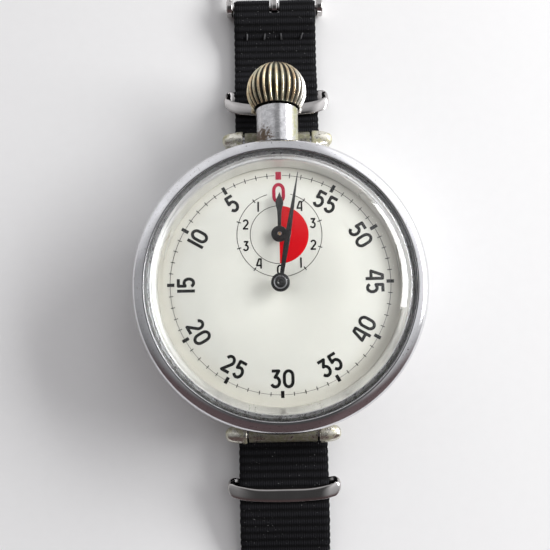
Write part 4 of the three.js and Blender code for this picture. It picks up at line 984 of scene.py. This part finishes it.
# ---- strap
def eased(stations, step=0.3):
    """Points (y, z) through stations, with soft bends where the height changes."""
    line = []
    for (y0, z0), (y1, z1) in zip(stations, stations[1:]):
        count = max(1, round(abs(y1 - y0) / step))
        for k in range(count):
            t = k / count
            line.append((y0 + t * (y1 - y0), z0 + (1 - cos(pi * t)) / 2 * (z1 - z0)))
    return line + [stations[-1]]


def fold(y, low, high, side):
    """A half turn from the lower layer to the upper one."""
    radius = (high - low) / 2
    return arc(y, low + radius, side * radius, radius, -90, 90, 20)


def even(line, step):
    """The same line with points a fixed step apart, and each one's distance from the start."""
    total = [0.0, *accumulate(dist(a, b) for a, b in zip(line, line[1:]))]
    count = round(total[-1] / step)
    points, i = [], 0
    for k in range(count + 1):
        s = total[-1] * k / count
        while i < len(line) - 2 and total[i + 1] < s:
            i += 1
        share = (s - total[i]) / max(1e-9, total[i + 1] - total[i])
        points.append((s, tuple(a + (b - a) * share for a, b in zip(line[i], line[i + 1]))))
    return points


def half_width(y):
    """The strap narrows to a rounded point at its tail."""
    past = y - TAIL_END_Y
    if past > TAIL_POINT:
        return STRAP_HALF
    share = max(0.0, past / TAIL_POINT)
    return max(0.35, STRAP_HALF * (1 - (1 - share) ** 2.3) ** 0.62)


def ribbon(name, line, node):
    """Ribbed webbing of the strap's width and thickness along a centre line."""
    points = even(line, RIB_PITCH / 7)
    columns = 26
    rings, across, crests = [], [], []
    for i, (s, (y, z)) in enumerate(points):
        (_, a), (_, b) = points[max(i - 1, 0)], points[min(i + 1, len(points) - 1)]
        length = dist(a, b)
        ny, nz = -(b[1] - a[1]) / length, (b[0] - a[0]) / length
        phase = TAU * s / RIB_PITCH
        rib = abs(sin(phase / 2)) ** 0.8
        wide = half_width(y) - 0.14 * (1 - rib) + 0.05 * noise.noise(Vector((s * 0.7, 1.3, 0)))
        ring = []
        for face in (1, -1):
            for k in range(columns + 1):
                u = -1 + 2 * k / columns if face > 0 else 1 - 2 * k / columns
                edge = min(1.0, (1 - abs(u)) * STRAP_HALF / 0.55)
                swell = sqrt(max(0.0, 1 - (1 - edge) ** 2))
                wobble = 0.02 * noise.noise(Vector((u * 6, s * 0.9, face * 3.0)))
                thick = (STRAP_T / 2 - RIB_RELIEF * (1 - rib) + wobble - 0.01) * (0.35 + 0.65 * swell)
                ring.append((u * wide, y + face * ny * thick, z + face * nz * thick))
                across.append(u * wide)
                crests.append(rib)
        rings.append(ring)
    return piece(name, *loft(rings), WEBBING, replaces=[node], slot="webbing_black", sharp=60,
                 attributes={"across": across, "rib": crests})


def build_strap():
    upper = [
        (BUCKLE_BAR_Y, LOOP_TOP), (59.5, LOOP_TOP), (53.5, UPPER_LAYER), (48.2, UPPER_LAYER),
        (44.6, UPPER_LAYER + KEEPER_LIFT), (36.8, UPPER_LAYER + KEEPER_LIFT),
        (LUG_TOP_Y + 1, OVER_LUG_BAR), (LUG_TOP_Y - 1, OVER_LUG_BAR), (22.6, UPPER_LAYER), (-22, UPPER_LAYER),
        (LUG_BOTTOM_Y + 1, OVER_LUG_BAR), (LUG_BOTTOM_Y - 1, OVER_LUG_BAR),
        (-35.5, UNDER_AT_LOWER + STRAP_T + LAYER_GAP), (-43.8, UNDER_AT_LOWER + STRAP_T + LAYER_GAP),
        (-60, LOW_LAYER), (TAIL_END_Y, LOW_LAYER),
    ]
    line = [(51.6, LOW_LAYER)] + fold(BUCKLE_BAR_Y, LOW_LAYER, LOOP_TOP, 1) + eased(upper)[1:]
    main = ribbon("strap_long", line, "strap_main")
    centres = [(0, FIRST_HOLE_Y - i * HOLE_PITCH, 0) for i in range(HOLE_COUNT)]
    holes = [lathe(box(0, HOLE_R, -1, 3), 28, centre=centre) for centre in centres]
    slot = slab(box(-SLOT_HALF, SLOT_HALF, BUCKLE_BAR_Y - SLOT_DEPTH, 70), -1, 8)
    cut(main, [join(*holes), slot])
    soften(main.data, 60)
    lip = [(HOLE_R - 0.02, 0.06), (HOLE_R + 0.38, 0.02), (HOLE_R + 0.38, STRAP_T + 0.02),
           (HOLE_R - 0.02, STRAP_T + 0.06)]
    for i, centre in enumerate(centres):
        turned(f"strap_hole_lip_{i + 1}", lip, 0.12, 3, 32, SEALED, centre=centre, slot="webbing_black")

    fold_y = KEEPER_LOWER[0] - 2.4
    under = [
        (51.2, LOW_LAYER), (48.2, LOW_LAYER), (44.6, LOW_LAYER + KEEPER_LIFT),
        (36.8, LOW_LAYER + KEEPER_LIFT), (34.2, LOW_LAYER), (-29.9, LOW_LAYER),
        (-36.6, UNDER_AT_LOWER), (fold_y, UNDER_AT_LOWER),
    ]
    back = fold(fold_y, LOW_LAYER, UNDER_AT_LOWER, -1)[::-1]
    ribbon("strap_short", eased(under) + back[1:] + [(-35.6, LOW_LAYER)], "strap_under")

    stitches = []
    for x, slant in ((-6.2, 0.1), (-2.4, 0.25), (1.4, -0.1), (5.6, 0.5)):
        path = []
        for i in range(7):
            t = i / 6
            y = STITCH_Y + STITCH_LENGTH * t
            rise = (LOOP_TOP - UPPER_LAYER) * (1 - cos(pi * (y - 53.5) / 6)) / 2
            top = UPPER_LAYER + rise + STRAP_T / 2
            path.append((x + slant * t, y, top + 0.02 + 0.14 * sin(pi * t)))
        around = oval(10, 0.17, 0.11)
        stitches.append(loft([[(px + a, py, pz + b) for a, b in around] for px, py, pz in path]))
    piece("strap_stitches", *join(*stitches), THREAD, slot="webbing_black", sharp=60)


# ---- keepers and buckle
def build_keeper(name, node, place):
    """A flat steel loop. Its ends bow towards twelve o'clock and its upper bar leans the other way."""
    y0, z0, lean = place
    middle = KEEPER_HEIGHT / 2
    outer = oval(120, KEEPER_WIDTH / 2, middle, KEEPER_OUTER_SQUARE)
    inner = oval(120, KEEPER_WIDTH / 2 - KEEPER_SIDE, middle - KEEPER_BAR, KEEPER_INNER_SQUARE)
    rings = []
    for (x1, z1), (x2, z2) in zip(outer, inner):
        thick = hypot(x1 - x2, z1 - z2)
        ox, oz = (x1 - x2) / thick, (z1 - z2) / thick
        ring = []
        for a, b in oval(28, thick / 2, KEEPER_DEPTH / 2 * (1 - 0.22 * ox ** 2), 3 - ox ** 2):
            x, z = (x1 + x2) / 2 + ox * a, middle + (z1 + z2) / 2 + oz * a
            bow = KEEPER_BOW * abs(2 * x / KEEPER_WIDTH) ** 3
            ring.append((x, y0 + b + bow + lean * (KEEPER_HEIGHT - KEEPER_BAR / 2 - z), z0 + z))
        rings.append(ring)
    piece(name, *loft(rings, None), KEEPER, replaces=[node], slot="keeper_steel", sharp=60)


def build_buckle():
    """A hoop of flattened wire that turns on a bar, and a tongue hooked round the bar."""
    far = BUCKLE_BAR_Y + BUCKLE_LENGTH
    corner = 3 - BUCKLE_WIRE / 2
    mid_x = BUCKLE_HALF_WIDTH - BUCKLE_WIRE / 2
    mid_y = far - BUCKLE_WIRE / 2
    right = [(3, mid_y, pi / 2)]
    right += [(mid_x - corner + corner * cos(a), mid_y - corner + corner * sin(a), a)
              for a in (pi / 2 * (1 - k / 10) for k in range(11))]
    right += [(mid_x, y, 0) for y in (mid_y - corner - 0.5, BUCKLE_BAR_Y + 3, BUCKLE_BAR_Y)]
    left = [(-x, y, pi - turn) for x, y, turn in reversed(right)]
    around = oval(24, BUCKLE_WIRE / 2, 0.75, 2.8)
    rings = []
    for x, y, turn in left + right:
        ox, oy = cos(turn), sin(turn)
        rings.append([(x + ox * a, y + oy * a, BUCKLE_Z + b) for a, b in around])
    eye = chamfered(BUCKLE_EYE_R, BUCKLE_WIRE / 2, 0.15)
    eyes = [lathe(eye, 48, axis="x", centre=(hand * mid_x, BUCKLE_BAR_Y, BUCKLE_Z)) for hand in (-1, 1)]
    hoop = piece("buckle_hoop", *join(loft(rings), *eyes), KEEPER,
                 "buckle_frame", ["buckle_frame"], "keeper_steel")
    fused(hoop, 0.1, 3)
    axis = (0, BUCKLE_BAR_Y, BUCKLE_Z)
    cut(hoop, [lathe(box(0, BUCKLE_BAR_R + 0.06, -12, 12), 32, axis="x", centre=axis)])
    soften(hoop.data, 50)

    bar_profile = box(0, BUCKLE_BAR_R, -BUCKLE_HALF_WIDTH, BUCKLE_HALF_WIDTH)
    turned("buckle_spring_bar", bar_profile, 0.15, 3, 32, KEEPER, closed=False, axis="x", centre=axis,
           replaces=["buckle_bar"], slot="keeper_steel")

    top = BUCKLE_Z + 0.85
    spine = [(BUCKLE_BAR_Y - 0.98, BUCKLE_Z, 0.36), (BUCKLE_BAR_Y - 0.7, BUCKLE_Z + 0.72, 0.34),
             (BUCKLE_BAR_Y, BUCKLE_Z + 1.0, 0.33), (BUCKLE_BAR_Y + 1.4, BUCKLE_Z + 0.85, 0.34),
             (BUCKLE_BAR_Y + 4, BUCKLE_Z + 0.75, 0.35), (BUCKLE_BAR_Y + 8, top + 0.1, 0.36),
             (far - 1.6, top + 0.36, 0.36), (far - 0.3, top + 0.3, 0.3), (far + 0.25, top + 0.26, 0.16)]
    rings = []
    for i, (y, z, thick) in enumerate(spine):
        (y0, z0, _), (y1, z1, _) = spine[max(i - 1, 0)], spine[min(i + 1, len(spine) - 1)]
        length = hypot(y1 - y0, z1 - z0)
        ny, nz = -(z1 - z0) / length, (y1 - y0) / length
        wide = 0.83 if i < len(spine) - 1 else 0.5
        rings.append([(a, y + ny * b, z + nz * b) for a, b in oval(20, wide, thick, 3)])
    tongue = piece("buckle_prong", *loft(rings), KEEPER,
                   "buckle_tongue", ["buckle_tongue"], "keeper_steel", 50)
    applied(tongue, SUBSURF={"levels": 1})
    soften(tongue.data, 60)


# ---- nodes that keep their CAD shape
def dress_movement():
    looks = {"steel_work": STEEL, "brass_work": BRASS, "plate_nickel": NICKEL}
    slots = {s["node"]: s["material_slot"] for s in frame["record"]["subparts"]}
    for node, obj in frame["nodes"].items():
        look = looks.get(slots.get(node))
        if look:
            obj.data.materials.clear()
            obj.data.materials.append(look)


# ---- stage, light and camera
def build_stage():
    bm = bmesh.new()
    bmesh.ops.create_grid(bm, x_segments=12, y_segments=12, size=FLOOR_HALF)
    mesh = bpy.data.meshes.new("floor")
    bm.to_mesh(mesh)
    bm.free()
    floor = linked("floor", mesh)
    floor.location.z = -0.05 * MM
    mesh.materials.append(floor_paper())


def build_lamp():
    """A broad lamp low on the right."""
    data = bpy.data.lights.new("window", "AREA")
    data.shape = "RECTANGLE"
    data.size, data.size_y = LAMP_SIZE
    data.energy = LAMP_WATTS
    lamp = linked("window", data)
    lamp.location = LAMP_PLACE
    lamp.rotation_mode = "QUATERNION"
    lamp.rotation_quaternion = (Vector((0, 0, 0.01)) - Vector(LAMP_PLACE)).to_track_quat("-Z", "Y")


def build_room():
    """Walls of light: bright behind twelve o'clock and on the right, dim on the left, dark elsewhere."""
    world = bpy.data.worlds.new("room")
    bpy.context.scene.world = world
    room = Tree(world, "Background", "Generated")
    east, north = room.axis("X"), room.axis("Y")
    sides = room.maths("ADD", room.span(east, 0.2, 0.36, 0, 0.84), room.span(east, -0.1, -0.35, 0, 0.32))
    lit_sides = room.maths("MULTIPLY", sides, room.span(north, -0.5, 0, 0.06, 1))
    wall = room.maths("ADD", room.span(north, 0.2, 0.46, 0.07, 0.62), room.span(north, -0.4, -0.6, 0, 0.03))
    room.feed("Strength", room.maths("ADD", lit_sides, wall))
    room.feed("Color", room.mix(room.span(north, -0.3, -0.55), ROOM_NEUTRAL, ROOM_SOUTH))


def build_camera():
    """Straight above the dial, a little below its centre, tilted slightly towards twelve o'clock."""
    data = bpy.data.cameras.new("camera")
    data.sensor_width = SENSOR_WIDTH
    data.lens = FOCAL_PIXELS / PICTURE_WIDTH * SENSOR_WIDTH
    data.clip_start, data.clip_end = 0.005, 10
    data.dof.use_dof = False
    obj = linked("camera", data)
    tilt = Matrix.Rotation(radians(CAMERA_TILT), 4, "X")
    lean = Matrix.Rotation(radians(CAMERA_LEAN), 4, "Y")
    roll = Matrix.Rotation(radians(CAMERA_ROLL), 4, "Z")
    obj.matrix_world = Matrix.Translation(CAMERA_PLACE) @ tilt @ lean @ roll
    bpy.context.scene.camera = obj


build_case()
build_dial()
build_hands()
build_crown()
build_pendant()
build_lugs()
build_strap()
build_keeper("keeper_loop_upper", "keeper_upper", KEEPER_UPPER)
build_keeper("keeper_loop_lower", "keeper_lower", KEEPER_LOWER)
build_buckle()
dress_movement()
build_stage()
build_lamp()
build_room()
build_camera()
bpy.context.scene.view_settings.view_transform = "Standard"
